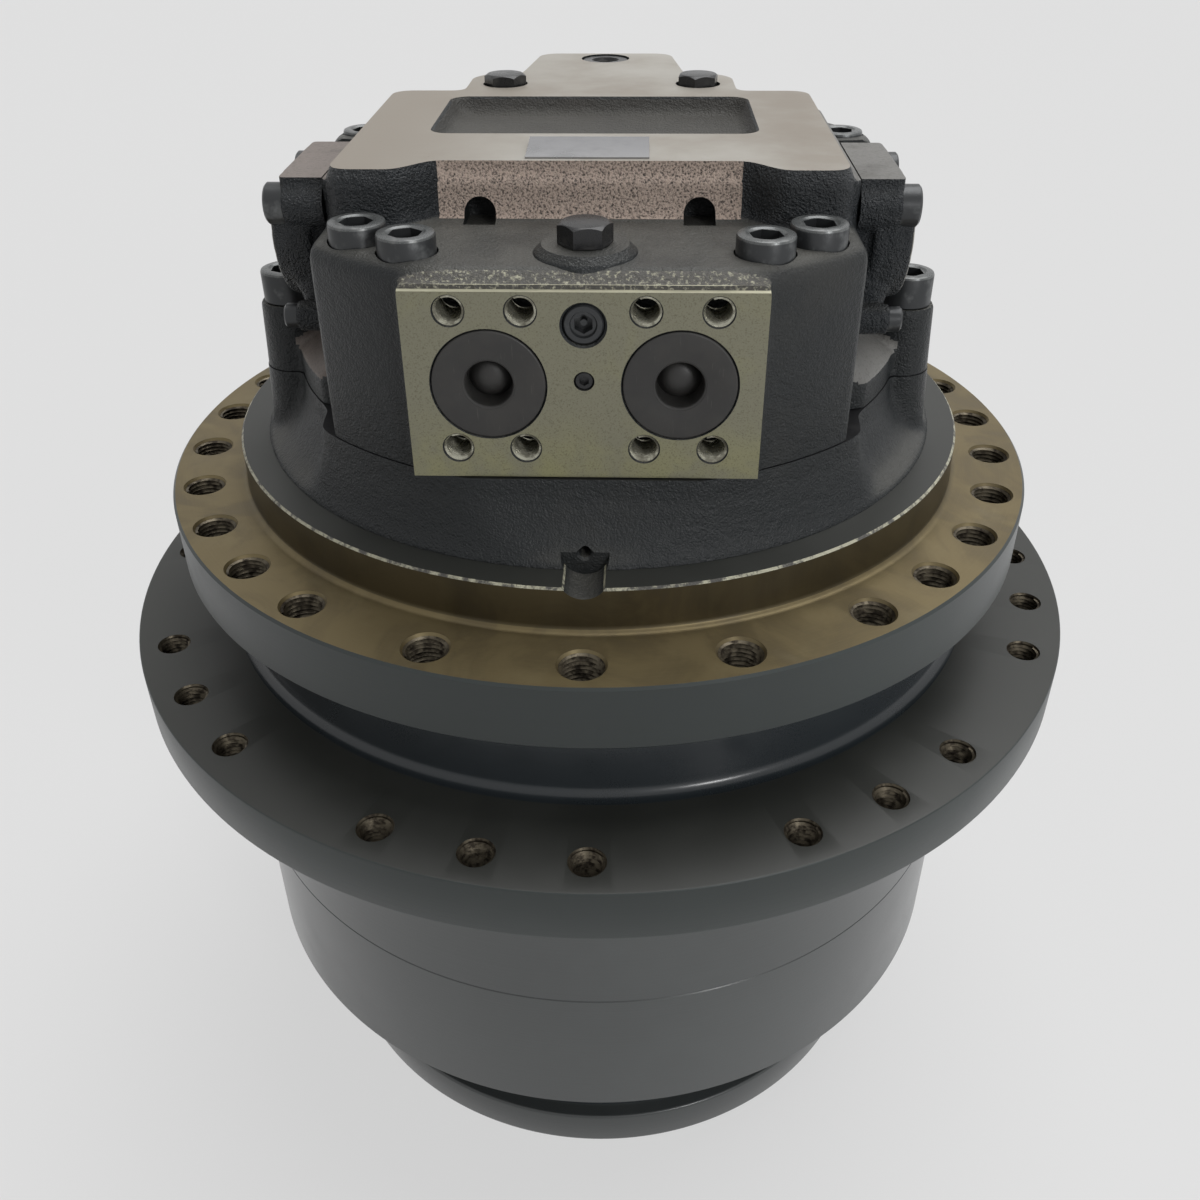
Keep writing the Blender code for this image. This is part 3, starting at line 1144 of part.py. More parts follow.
def make_hex_plug(name, parent, place):
    stem = disc(HEX_STEM_RADIUS, -HEX_STEM_LENGTH, HEX_HEIGHT / 2, SMALL_FACETS)
    plug = node(name, moved(prism(hexagon(HEX_FLATS), SEAT, HEX_HEIGHT), place), 'black_bolt')
    add(plug, moved(stem, place))
    hang(plug, parent)


def make_top_plugs(parent):
    make_hex_plug('front_hex_plug', parent, (0, -FRONT_PLUG_PLACE, BODY_TOP + FRONT_BOSS_HEIGHT))
    for side, name in ((-1, 'top_hex_plug_left'), (1, 'top_hex_plug_right')):
        make_hex_plug(name, parent, (side * TOP_PLUG_OFFSET, TOP_PLUG_BACK, PLATE_TOP - TOP_PLUG_SINK))
    low = PLATE_TOP - FLUSH_PLUG_DEPTH
    flush = disc(FLUSH_PLUG_RADIUS, low, PLATE_TOP, SMALL_FACETS)
    plug = node('tongue_plug', moved(flush, (0, FLUSH_PLUG_BACK, 0)), 'black_bolt')
    socket = prism(hexagon(FLUSH_PLUG_SOCKET), low + FLUSH_PLUG_DEPTH / 2, PLATE_TOP + OVERRUN)
    cut(plug, moved(socket, (0, FLUSH_PLUG_BACK, 0)))
    hang(plug, parent)


def make_spool(parent):
    length = (SIDE_HALF_WIDTH - SPOOL_TRAVEL) * 2 - SPOOL_TRAVEL
    lands = SPOOL_LANDS * 2 - 1
    step = length / lands
    profile = [(0, -length / 2)]
    for i in range(lands):
        radius = SPOOL_RADIUS - (SPOOL_GROOVE_DEPTH if i % 2 else 0)
        low = -length / 2 + i * step
        profile += [(radius, low), (radius, low + step)]
    profile.append((0, length / 2))
    hang(node('counterbalance_spool', sideways(turned(profile, SMALL_FACETS), 1), 'ground_steel'), parent)


def make_side_caps(parent):
    high = PLATE_TOP - CAP_TOP_DROP
    low = high - CAP_HEIGHT
    front = -CAP_FRONT
    back = front + CAP_LENGTH
    inner = SIDE_HALF_WIDTH + SEAT
    outer = inner + CAP_THICKNESS
    ears = []
    for y in (front + CAP_EAR_INSET, back - CAP_EAR_INSET):
        ears.append((y, high - CAP_EAR_RADIUS, CAP_EAR_RADIUS, CAP_BOLT_RADIUS, CAP_BOLT_HEIGHT))
    for y in (front - CAP_LOW_EAR_REACH, back + CAP_LOW_EAR_REACH):
        ears.append((y, low + CAP_LOW_EAR_RISE, CAP_LOW_EAR_RADIUS, CAP_LOW_BOLT_RADIUS, CAP_LOW_BOLT_HEIGHT))
    lay = Matrix(((0, 0, 1, 0), (1, 0, 0, 0), (0, 1, 0, 0), (0, 0, 0, 1)))
    for side, name in ((-1, 'side_cap_left'), (1, 'side_cap_right')):
        near, far = sorted((side * inner, side * outer))
        plate = prism(rounded_box(front, back, low, high, CAP_CORNER), near, far)
        cap = node(name, moved(plate, turn=lay), 'painted_casting')
        raised = disc(CAP_DISC_RADIUS, outer - OVERRUN, outer + CAP_DISC_HEIGHT, SMALL_FACETS)
        add(cap, moved(sideways(raised, side), (0, -SPOOL_PLACE, SPOOL_Z)))
        for y, z, ear_radius, bolt_radius, bolt_height in ears:
            ear = disc(ear_radius, inner, outer + SEAT, SMALL_FACETS)
            add(cap, moved(sideways(ear, side), (0, y, z)))
            head = disc(bolt_radius, outer - OVERRUN, outer + bolt_height, HOLE_FACETS)
            add(cap, moved(sideways(head, side), (0, y, z)))
        hang(cap, parent)


def main():
    clear_scene()
    root = empty('root', (0, 0, 0))
    hub = empty('hub_axis', (0, 0, 0), root)
    shaft = empty('shaft_axis', (0, 0, 0), root)
    carrier1 = empty('carrier_1_axis', (0, 0, 0), root)
    planets1 = [empty('planet_1_%d_axis' % (i + 1), planet_centre(i), carrier1) for i in range(PLANETS)]
    planets2 = [empty('planet_2_%d_axis' % (i + 1), planet_centre(i), root) for i in range(PLANETS)]
    lower_balls = empty('lower_balls_axis', (0, 0, 0), root)
    upper_balls = empty('upper_balls_axis', (0, 0, 0), root)
    brake = empty('brake_axis', (0, 0, 0), root)
    spool = empty('spool_axis', (0, -SPOOL_PLACE, SPOOL_Z), root)
    make_end_cover(hub)
    make_ring_gear(hub)
    make_hub(hub)
    make_sprocket_flange(hub)
    make_main_bearing('lower_bearing', LOWER_BEARING_Z, root, hub, lower_balls)
    make_main_bearing('upper_bearing', UPPER_BEARING_Z, root, hub, upper_balls)
    make_preload_nut(root)
    make_face_seal(root, hub)
    make_planets(1, STAGE1_Z, STAGE1_WIDTH, PIN1_RADIUS, planets1)
    make_planets(2, STAGE2_Z, STAGE2_WIDTH, PIN2_RADIUS, planets2)
    make_suns(shaft, carrier1)
    make_carrier_1(carrier1)
    make_carrier_2(root)
    make_frame_flange(root)
    make_motor_case(root)
    make_drive_shaft(shaft)
    make_shaft_bearings(root)
    make_cylinder_block(shaft)
    make_swash_plate(root)
    make_valve_plate(root)
    make_brake(root, brake)
    make_rear_cover(root)
    make_port_plugs(root)
    make_cover_bolts(root)
    make_top_plugs(root)
    make_spool(spool)
    make_side_caps(root)


main()
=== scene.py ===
import json
import math
import random

import bmesh
import bpy
from mathutils import Matrix, Vector


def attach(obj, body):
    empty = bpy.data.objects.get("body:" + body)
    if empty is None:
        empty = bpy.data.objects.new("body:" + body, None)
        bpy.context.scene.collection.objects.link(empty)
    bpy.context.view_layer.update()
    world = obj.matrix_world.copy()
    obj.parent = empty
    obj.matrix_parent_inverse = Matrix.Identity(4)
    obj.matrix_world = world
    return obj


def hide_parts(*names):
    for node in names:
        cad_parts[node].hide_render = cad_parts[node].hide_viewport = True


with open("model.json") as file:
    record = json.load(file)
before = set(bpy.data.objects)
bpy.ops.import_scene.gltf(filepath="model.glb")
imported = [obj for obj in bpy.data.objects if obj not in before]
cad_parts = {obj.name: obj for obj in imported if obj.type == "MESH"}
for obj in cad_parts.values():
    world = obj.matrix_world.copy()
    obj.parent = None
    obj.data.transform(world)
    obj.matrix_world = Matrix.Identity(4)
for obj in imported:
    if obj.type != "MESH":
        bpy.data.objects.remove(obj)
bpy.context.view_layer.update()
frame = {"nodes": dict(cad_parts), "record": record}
random.seed(41)
print('frame loaded with', len(frame['nodes']), 'nodes')


class Sizes(dict):
    # a dictionary whose values can be read by name
    __getattr__ = dict.__getitem__


# materials: sockets that can be added and multiplied
class Wire:
    def __init__(self, nodes, socket):
        self.nodes = nodes
        self.socket = socket

    def maths(self, operation, *values):
        return self.nodes.add('ShaderNodeMath', {'operation': operation}, dict(enumerate(values)))

    def __add__(self, other):
        return self.maths('ADD', self, other)

    def __sub__(self, other):
        return self.maths('SUBTRACT', self, other)

    def __rsub__(self, other):
        return self.maths('SUBTRACT', other, self)

    def __mul__(self, other):
        return self.maths('MULTIPLY', self, other)

    __radd__ = __add__
    __rmul__ = __mul__

    def between(self, low, high):
        # 0 at low, 1 at high, held outside
        settings = {'clamp': True, 'interpolation_type': 'SMOOTHSTEP'}
        return self.nodes.add('ShaderNodeMapRange', settings, {0: self, 1: low, 2: high})


class Nodes:
    def __init__(self, tree):
        self.tree = tree

    def add(self, kind, settings=None, sockets=None, out=0):
        node = self.tree.nodes.new(kind)
        for name, value in (settings or {}).items():
            setattr(node, name, value)
        for name, value in (sockets or {}).items():
            self.feed(node.inputs[name], value)
        return Wire(self, node.outputs[out])

    def pale(self):
        # 1 for the rays that see the plain background: the camera's, and those in metal and glass
        path = self.add('ShaderNodeLightPath').socket.node.outputs
        rays = [Wire(self, path[kind]) for kind in ('Is Camera Ray', 'Is Glossy Ray', 'Is Transmission Ray')]
        return (rays[0] + rays[1] + rays[2]).between(0, 1)

    def feed(self, target, value):
        if isinstance(value, Wire):
            self.tree.links.new(value.socket, target)
        else:
            target.default_value = value

    def mix(self, factor, first, second, way='MIX'):
        first = first if isinstance(first, Wire) else (*first, 1)
        second = second if isinstance(second, Wire) else (*second, 1)
        return self.add('ShaderNodeMix', {'data_type': 'RGBA', 'blend_type': way},
                        {0: factor, 6: first, 7: second}, out=2)

    def split(self, vector):
        parts = self.add('ShaderNodeSeparateXYZ', None, {0: vector}).socket.node
        return [Wire(self, output) for output in parts.outputs]


class Finish(Nodes):
    def __init__(self, name, colour, roughness, metallic=0.0, coat=0.0, specular=0.5):
        self.material = bpy.data.materials.new(name)
        self.material.use_nodes = True
        super().__init__(self.material.node_tree)
        self.shader = self.tree.nodes['Principled BSDF']
        self.material.diffuse_color = (*colour, 1)
        start = {'Base Color': (*colour, 1), 'Roughness': roughness, 'Metallic': metallic,
                 'Coat Weight': coat, 'Coat Roughness': 0.18, 'Specular IOR Level': specular}
        for name, value in start.items():
            self.shader.inputs[name].default_value = value
        self.place = self.add('ShaderNodeTexCoord', out='Object')

    def set(self, **values):
        for name, value in values.items():
            self.feed(self.shader.inputs[name.replace('_', ' ')], value)

    def noise(self, scale, detail=3.0, roughness=0.55, place=None, distortion=0.0):
        sockets = {'Vector': place or self.place, 'Scale': scale, 'Detail': detail,
                   'Roughness': roughness, 'Distortion': distortion}
        return self.add('ShaderNodeTexNoise', None, sockets, out='Fac')

    def cells(self, scale):
        return self.add('ShaderNodeTexVoronoi', None, {'Vector': self.place, 'Scale': scale}, out='Distance')

    def stretched(self, x, y, z):
        return self.add('ShaderNodeVectorMath', {'operation': 'MULTIPLY'}, {0: self.place, 1: (x, y, z)})

    def axes(self):
        return self.split(self.place)

    def upward(self):
        # 1 where a surface looks up and dust settles
        return self.split(self.add('ShaderNodeTexCoord', out='Normal'))[2].between(0.55, 0.98)

    def radius(self):
        x, y = self.axes()[:2]
        square = x * x + y * y
        return square.maths('SQRT', square)

    def bump(self, height, depth, strength=1.0):
        sockets = {'Height': height, 'Distance': depth, 'Strength': strength}
        return self.add('ShaderNodeBump', None, sockets, out='Normal')


# finishes
paint = Sizes(
    enamel=(0.0158, 0.0180, 0.0192),     # dark blue grey
    enamelDust=(0.070, 0.066, 0.058),    # the dust that lies on it
    turnedEnamel=(0.046, 0.050, 0.050),
    rim=(0.028, 0.034, 0.033),
    dustOnTop=(0.150, 0.145, 0.128),
    castGrain=900,                       # grains per metre
    castDepth=0.0009,
    castGloss=0.34,
)
bare = Sizes(
    flangeBrown=(0.155, 0.122, 0.066),
    flangeLight=(0.220, 0.182, 0.108),
    flangeDark=(0.062, 0.048, 0.030),
    portOlive=(0.215, 0.208, 0.150),
    portGreen=(0.265, 0.256, 0.140),
    portEdge=(0.560, 0.540, 0.400),      # the bright worn edge of the port face
    plateGrey=(0.400, 0.382, 0.345),
    plateWarm=(0.258, 0.224, 0.184),
    breakLight=(0.600, 0.475, 0.400),    # the rough brown face below the top plate
    breakDark=(0.050, 0.040, 0.034),
    stepGrey=(0.165, 0.160, 0.150),
    stepWarm=(0.180, 0.150, 0.133),
    stepDark=(0.055, 0.050, 0.044),
)


def castEnamel(name, colour, dust, gloss, depth, dustAmount=0.35):
    made = Finish(name, colour, gloss, specular=0.28)
    grain = made.noise(paint.castGrain, 2, 0.55)
    swell = made.noise(120, 2, 0.5)
    pits = made.cells(300)
    height = grain + swell * 0.5 + pits * 0.30
    patches = made.noise(9, 4, 0.6).between(0.52, 0.80)
    speck = made.noise(900, 1, 0.5).between(0.60, 0.78)
    settled = made.upward() * (made.noise(26, 4, 0.6).between(0.30, 0.62) * 0.4 + 0.5) * dustAmount * 1.5
    tone = made.mix(patches * dustAmount + speck * 0.10, colour, dust)
    made.set(Base_Color=made.mix(settled, tone, paint.dustOnTop),
             Roughness=gloss - 0.10 + grain * 0.20 + patches * 0.20 + settled * 0.2,
             Normal=made.bump(height, depth, 0.85))
    return made


def turnedEnamel(name, colour, gloss=0.40, dustAmount=0.25, coat=0.0):
    made = Finish(name, colour, gloss, coat=coat, specular=0.35)
    lathe = made.noise(1.0, 2, 0.5, made.stretched(2, 2, 900))
    fine = made.noise(1500, 2, 0.6)
    clouds = made.noise(6, 4, 0.62).between(0.42, 0.75)
    speck = made.cells(120).between(0.05, 0.02) * made.noise(14, 2).between(0.50, 0.62)
    dust = made.mix(clouds * dustAmount, colour, tuple(v * 1.9 + 0.012 for v in colour))
    made.set(Base_Color=made.mix(speck * 0.35, dust, paint.enamelDust),
             Roughness=gloss - 0.05 + clouds * 0.14 + fine * 0.10,
             Normal=made.bump(lathe * 0.5 + fine * 0.5, 0.00012, 0.6))
    return made


def brownFlange(name, shade=1.0):
    # machined and left bare under old oil, with stains and faint rings
    made = Finish(name, bare.flangeBrown, 0.42, 0.55)
    around = made.radius()
    rings = made.noise(1.0, 2, 0.6,
                       made.add('ShaderNodeCombineXYZ', None, {0: around * 1400, 1: 0.0, 2: 0.0}))
    stains = made.noise(16, 5, 0.65, distortion=1.2)
    streaks = made.noise(34, 4, 0.6, made.stretched(1.0, 1.0, 0.2))
    rub = made.cells(21).between(0.10, 0.45)
    tone = made.mix(stains.between(0.36, 0.60) * 0.45 + 0.55, bare.flangeDark, bare.flangeBrown)
    tone = made.mix(streaks.between(0.50, 0.76) * 0.30, tone, bare.flangeLight)
    tone = made.mix(rings.between(0.45, 0.75) * 0.16, tone, bare.flangeLight)
    # shade darkens a copy of this finish, as painted shade
    tone = made.mix(1.0, tone, (shade, shade, shade * 0.94), 'MULTIPLY')
    made.set(Base_Color=tone, Metallic=0.75 - stains.between(0.5, 0.3) * 0.15,
             Roughness=0.34 + stains * 0.14 + rub * 0.05,
             Normal=made.bump(rings * 0.7 + made.noise(900, 2) * 0.3, 0.00010, 0.6))
    return made


def portMetal():
    made = Finish('portMetal', bare.portOlive, 0.45, 0.55)
    cloud = made.noise(24, 5, 0.6, distortion=0.8)
    low = made.axes()[2].between(0.545, 0.508)
    green = (low * 0.8 + cloud.between(0.48, 0.75) * 0.45) * made.noise(45, 3).between(0.30, 0.62)
    tone = made.mix(green, bare.portOlive, bare.portGreen)
    tone = made.mix(made.noise(1300, 2, 0.7).between(0.50, 0.72) * 0.45, tone, bare.flangeDark)
    made.set(Base_Color=tone, Roughness=0.36 + cloud * 0.22,
             Normal=made.bump(made.noise(1500, 2, 0.6), 0.00012, 0.5))
    return made


def plateMetal():
    made = Finish('plateMetal', bare.plateGrey, 0.48, 0.35)
    milled = made.noise(1.0, 2, 0.5, made.stretched(4, 700, 4))
    cloud = made.noise(7, 5, 0.62)
    paintedLeftShade = made.axes()[0].between(-0.010, -0.110) * 0.90         # painted shade: darker and warmer towards the left, where the plate's reflection is dimmer
    tone = made.mix(cloud.between(0.30, 0.62) * (1 - paintedLeftShade), bare.plateWarm, bare.plateGrey)
    tone = made.mix(made.noise(420, 3, 0.7).between(0.60, 0.85) * 0.35, tone, bare.flangeDark)
    made.set(Base_Color=tone, Roughness=0.44 + cloud * 0.16,
             Normal=made.bump(milled * 0.6 + made.noise(1100, 2) * 0.4, 0.00012, 0.5))
    return made


def brokenFace():
    # the rough brown strip below the top plate
    made = Finish('brokenFace', bare.breakLight, 0.55)
    grain = made.noise(760, 4, 0.75)
    chips = made.cells(900)
    mask = (grain * 0.85 + chips * 0.20).between(0.36, 0.60)
    made.set(Base_Color=made.mix(mask, bare.breakDark, bare.breakLight),
             Roughness=0.42 + grain * 0.25,
             Normal=made.bump(grain * 0.9 + chips * 0.3, 0.0012, 1.0))
    return made


def stepMetal():
    # ground by hand, browner on the left
    made = Finish('stepMetal', bare.stepGrey, 0.52, 0.1)
    cloud = made.noise(30, 4, 0.6)
    speck = made.noise(620, 3, 0.7)
    tone = made.mix(made.axes()[0].between(0.05, -0.05), bare.stepGrey, bare.stepWarm)
    tone = made.mix(cloud.between(0.50, 0.72) * 0.45 + speck.between(0.52, 0.66) * 0.45, tone, bare.stepDark)
    made.set(Base_Color=tone, Roughness=0.44 + cloud * 0.20, Normal=made.bump(speck, 0.0006, 0.7))
    return made


def chippedEdge(name, scale, low, high):
    # enamel broken off along the edge of a machined face, the more of it the lower the limits
    made = Finish(name, paint.enamel, 0.4)
    grain = made.noise(420, 4, 0.7)
    chips = made.noise(scale, 4, 0.7).between(low, high)
    made.set(Base_Color=made.mix(chips * 0.75, paint.enamelDust, bare.portEdge),
             Roughness=0.30 + grain * 0.25, Normal=made.bump(grain, 0.0016, 0.9))
    return made


def threadMetal(name, light, dark, gloss):
    made = Finish(name, light, gloss, 0.8)
    grime = made.noise(240, 4, 0.6).between(0.40, 0.66)
    made.set(Base_Color=made.mix(grime, light, dark), Roughness=gloss - 0.06 + grime * 0.2,
             Normal=made.bump(made.noise(2200, 2), 0.00008, 0.5))
    return made


def blackOxide(name, colour, edge, gloss=0.36):
    made = Finish(name, colour, gloss, 0.35)
    fine = made.noise(1700, 2, 0.6)
    wear = made.noise(95, 4, 0.6).between(0.50, 0.74)
    made.set(Base_Color=made.mix(wear * 0.7, colour, edge),
             Roughness=gloss - 0.06 + wear * 0.18 + fine * 0.08,
             Normal=made.bump(fine * 0.5 + made.noise(260, 2) * 0.6, 0.00015, 0.6))
    return made


def mouldedPlastic():
    made = Finish('mouldedPlastic', (0.026, 0.024, 0.022), 0.46)
    fine = made.noise(1600, 3, 0.6)
    scratches = made.noise(1.0, 2, 0.6, made.stretched(1200, 60, 90)).between(0.66, 0.76)
    cloud = made.noise(60, 3).between(0.4, 0.7)
    made.set(Base_Color=made.mix(scratches * 0.5 + cloud * 0.25, (0.022, 0.021, 0.020),
                                 (0.070, 0.066, 0.060)),
             Roughness=0.40 + cloud * 0.16 + fine * 0.08, Normal=made.bump(fine, 0.00010, 0.6))
    return made


def machinedSteel(name, colour, gloss, metallic=1.0):
    made = Finish(name, colour, gloss, metallic)
    fine = made.noise(1.0, 2, 0.5, made.stretched(40, 40, 1400))
    oil = made.noise(30, 4, 0.6).between(0.42, 0.70)
    made.set(Base_Color=made.mix(oil * 0.5, colour, tuple(v * 0.55 for v in colour)),
             Roughness=gloss - 0.05 + oil * 0.16, Normal=made.bump(fine, 0.00008, 0.5))
    return made


finishes = {
    'casting': castEnamel('castEnamel', paint.enamel, paint.enamelDust, paint.castGloss, paint.castDepth),
    'glossCasting': castEnamel('glossEnamel', (0.022, 0.025, 0.028), (0.09, 0.085, 0.08), 0.24, 0.0024, 0.15),
    'pocket': castEnamel('pocketCasting', (0.040, 0.038, 0.034), (0.14, 0.120, 0.105), 0.50, 0.0012, 0.16),
    'turned': turnedEnamel('turnedEnamel', paint.turnedEnamel, 0.34, 0.30, 0.5),
    'neck': turnedEnamel('glossTurnedEnamel', (0.024, 0.029, 0.033), 0.24, 0.10, 0.3),
    'face': turnedEnamel('satinFaceEnamel', (0.028, 0.029, 0.026), 0.40, 0.30),
    'rim': turnedEnamel('rimEnamel', paint.rim, 0.36, 0.22, 0.1),
    'brown': brownFlange('brownFlange'),
    # the bare brown at half brightness: painted shade on the pilot's wall
    'pilotWall': brownFlange('shadedPilotWall', 0.50),
    'port': portMetal(),
    'plate': plateMetal(),
    'broken': brokenFace(),
    'step': stepMetal(),
    'chipped': chippedEdge('chippedEdge', 520, 0.50, 0.68),
    'wornLine': chippedEdge('wornLine', 130, 0.40, 0.56),
    'portEdge': machinedSteel('portEdge', bare.portEdge, 0.36, 0.5),
    'thread': threadMetal('threadMetal', (0.44, 0.43, 0.35), (0.20, 0.19, 0.15), 0.28),
    'brownThread': threadMetal('brownThread', (0.10, 0.085, 0.060), (0.020, 0.015, 0.010), 0.45),
    'bolt': blackOxide('blackOxide', (0.036, 0.038, 0.040), (0.16, 0.165, 0.165)),
    'boltEdge': blackOxide('wornOxide', (0.11, 0.115, 0.115), (0.30, 0.30, 0.29), 0.30),
    'wornEdge': blackOxide('wornEdge', (0.15, 0.14, 0.12), (0.34, 0.32, 0.27), 0.40),
    'plug': blackOxide('plugOxide', (0.020, 0.020, 0.021), (0.07, 0.068, 0.064), 0.30),
    # near black: painted shade on the floors of the bolt sockets and on the casing's face in the joint
    'hollow': blackOxide('paintedShadeBlack', (0.008, 0.008, 0.009), (0.02, 0.02, 0.02), 0.5),
    'plastic': mouldedPlastic(),
    'bareSteel': machinedSteel('bareSteel', (0.44, 0.43, 0.42), 0.33, 0.9),
    'plateSteel': machinedSteel('plateSteel', (0.36, 0.36, 0.37), 0.22, 0.9),
    'gearSteel': machinedSteel('gearSteel', (0.33, 0.32, 0.31), 0.30),
    'bronze': machinedSteel('bronze', (0.44, 0.28, 0.12), 0.32),
    'facing': machinedSteel('facing', (0.16, 0.10, 0.06), 0.7, 0.2),
}
print(len(finishes), 'finishes ready')


# shapes
def newObject(name, data):
    made = bpy.data.objects.new(name, data)
    bpy.context.scene.collection.objects.link(made)
    return made


def smoothed(piece, angle):
    piece.data.shade_smooth()
    piece.data.set_sharp_from_angle(angle=math.radians(angle))
    return piece


def meshPiece(name, bm, slots, smoothAngle=35):
    mesh = bpy.data.meshes.new(name)
    bm.to_mesh(mesh)
    bm.free()
    for slot in slots:
        mesh.materials.append(finishes[slot].material)
    made = newObject(name, mesh)
    return smoothed(made, smoothAngle) if smoothAngle else made


def turnedShape(profile, segments, place=(0, 0, 0), turn=None):
    # a closed line of (radius, height) points, turned about Z
    bm = bmesh.new()
    points = [bm.verts.new((r, 0, z)) for r, z in profile]
    edges = []
    for first, second in zip(points, points[1:] + points[:1]):
        if first.co.x or second.co.x:
            edges.append(bm.edges.new((first, second)))
    bmesh.ops.spin(bm, geom=points + edges, axis=(0, 0, 1), cent=(0, 0, 0), angle=math.tau,
                   steps=segments, use_merge=True, use_duplicate=False)
    bmesh.ops.remove_doubles(bm, verts=bm.verts, dist=0.000002)
    bmesh.ops.recalc_face_normals(bm, faces=bm.faces)
    return moved(bm, place, turn)


def onAxis(*points):
    # a profile that is closed along the axis
    return [(0, points[0][1]), *points, (0, points[-1][1])]


def cylinder(radius, low, high, segments=48):
    return turnedShape(onAxis((radius, low), (radius, high)), segments)


def arc(centre, radius, start, stop, steps=6):
    # points on part of a circle, for rounded corners of a profile
    points = []
    for number in range(steps + 1):
        turn = math.radians(start + (stop - start) * number / steps)
        points.append((centre[0] + radius * math.cos(turn), centre[1] + radius * math.sin(turn)))
    return points


def bend(x, y, radius, start, stop, steps):
    # the corner at x, y rounded, from one direction to the other
    middle = math.radians((start + stop) / 2)
    centre = (x - math.copysign(radius, math.cos(middle)), y - math.copysign(radius, math.sin(middle)))
    return arc(centre, radius, start, stop, steps)


def stacked(levels):
    # outlines with as many points, skinned from the lowest level to the highest
    bm = bmesh.new()
    rings = [[bm.verts.new((x, y, z)) for x, y in line] for line, z in levels]
    bm.faces.new(rings[0])
    bm.faces.new(rings[-1])
    for low, high in zip(rings, rings[1:]):
        for number in range(len(low)):
            other = (number + 1) % len(low)
            bm.faces.new((low[number], low[other], high[other], high[number]))
    bmesh.ops.recalc_face_normals(bm, faces=bm.faces)
    return bm


def prism(line, low, high):
    return stacked([(line, low), (line, high)])


def roundedBox(left, right, front, back, corner, steps=6):
    line = []
    for x, y, start in ((right, back, 0), (left, back, 90), (left, front, 180), (right, front, 270)):
        line += bend(x, y, corner, start, start + 90, steps)
    return line


everywhere = roundedBox(-0.6, 0.6, -0.6, 0.6, 0.01, 1)     # wider than the drive, for flat cuts


def moved(bm, place=(0, 0, 0), turn=None):
    matrix = Matrix.Translation(Vector(place))
    if turn:
        matrix = matrix @ turn
    bmesh.ops.transform(bm, matrix=matrix, verts=bm.verts)
    return bm


def turnAbout(axis, degrees):
    return Matrix.Rotation(math.radians(degrees), 4, axis)


# drawn in (y, z) and run along x, or turned from upright to face the front or the right
alongX = Matrix(((0, 0, 1, 0), (1, 0, 0, 0), (0, 1, 0, 0), (0, 0, 0, 1)))
facingFront, facingRight = turnAbout('X', 90), turnAbout('Y', 90)


def together(shapes):
    bm = bmesh.new()
    for shape in shapes:
        mesh = bpy.data.meshes.new('part')
        shape.to_mesh(mesh)
        shape.free()
        bm.from_mesh(mesh)
        bpy.data.meshes.remove(mesh)
    return bm


def edited(piece, change, *values):
    bm = bmesh.new()
    bm.from_mesh(piece.data)
    change(bm, *values)
    bm.to_mesh(piece.data)
    bm.free()
    return piece


def settle(piece):
    # the modifiers' result becomes the mesh
    bpy.context.view_layer.update()
    view = bpy.context.evaluated_depsgraph_get()
    mesh = bpy.data.meshes.new_from_object(piece.evaluated_get(view))
    old = piece.data
    piece.modifiers.clear()
    piece.data = mesh
    bpy.data.meshes.remove(old)
    return piece


def carve(piece, shapes, solver='MANIFOLD', operation='DIFFERENCE'):
    guide = meshPiece('guide', together(shapes), [], 0)
    change = piece.modifiers.new('carve', 'BOOLEAN')
    change.operation = operation
    change.solver = solver
    change.object = guide
    settle(piece)
    bpy.data.objects.remove(guide)
    return piece


def castForm(name, shapes, slots, grain, rounds):
    # overlapping shapes run into one skin as fine as grain, its corners rounded as a mould leaves them
    piece = meshPiece(name, together(shapes), slots, 0)
    skin = piece.modifiers.new('skin', 'REMESH')
    skin.mode = 'VOXEL'
    skin.voxel_size = grain
    soft = piece.modifiers.new('soft', 'SMOOTH')
    soft.factor = 0.5
    soft.iterations = rounds
    return settle(piece)


def around(radius, angle):
    # a place on a circle, the angle in degrees from the port side
    turn = math.radians(angle)
    return radius * math.sin(turn), -radius * math.cos(turn)


def circle(radius, points, turn=0):
    ways = [math.radians(turn + 360 * number / points) for number in range(points)]
    return [(radius * math.cos(way), radius * math.sin(way)) for way in ways]


def hexagon(flats, turn=0):
    return circle(flats / math.sqrt(3), 6, turn)


def eased(share):
    return share * share * (3 - 2 * share)


def thread(inner, outer, pitch, low, high, segments=22):
    # the inside of a tapped hole: one long helix of crests and roots
    bm = bmesh.new()
    count = int((high - low) / pitch * segments)
    crests, roots = [], []
    for number in range(count + segments + 1):
        turn = math.tau * number / segments
        z = low + pitch * (number / segments - 1)
        way = (math.cos(turn), math.sin(turn))
        crests.append(bm.verts.new((inner * way[0], inner * way[1], min(max(z, low), high))))
        roots.append(bm.verts.new((outer * way[0], outer * way[1], min(max(z + pitch / 2, low), high))))
    for number in range(len(crests) - 1):
        bm.faces.new((crests[number], crests[number + 1], roots[number + 1], roots[number]))
        above = number + segments
        if above + 1 < len(crests):
            bm.faces.new((roots[number], roots[number + 1], crests[above + 1], crests[above]))
    bmesh.ops.remove_doubles(bm, verts=bm.verts, dist=0.000001)
    bmesh.ops.dissolve_degenerate(bm, edges=bm.edges, dist=0.000001)
    return bm


def tappedHole(s, place, foot, low, high, ease, segments):
    # the cut with its countersunk mouth, and the thread that lines it
    depth = s.mouth - s.root + ease
    hole = foot + [(s.root, high - depth), (s.mouth, high - 0.0001), (s.mouth, high + 0.004),
                   (0, high + 0.004)]
    sleeve = moved(thread(s.core, s.root - 0.00004, s.pitch, low, high - depth), place)
    return turnedShape(hole, segments, place), sleeve


def paintFaces(piece, choose):
    # choose gives each face's material slot number from its middle and its normal
    for face in piece.data.polygons:
        face.material_index = choose(face.center, face.normal)


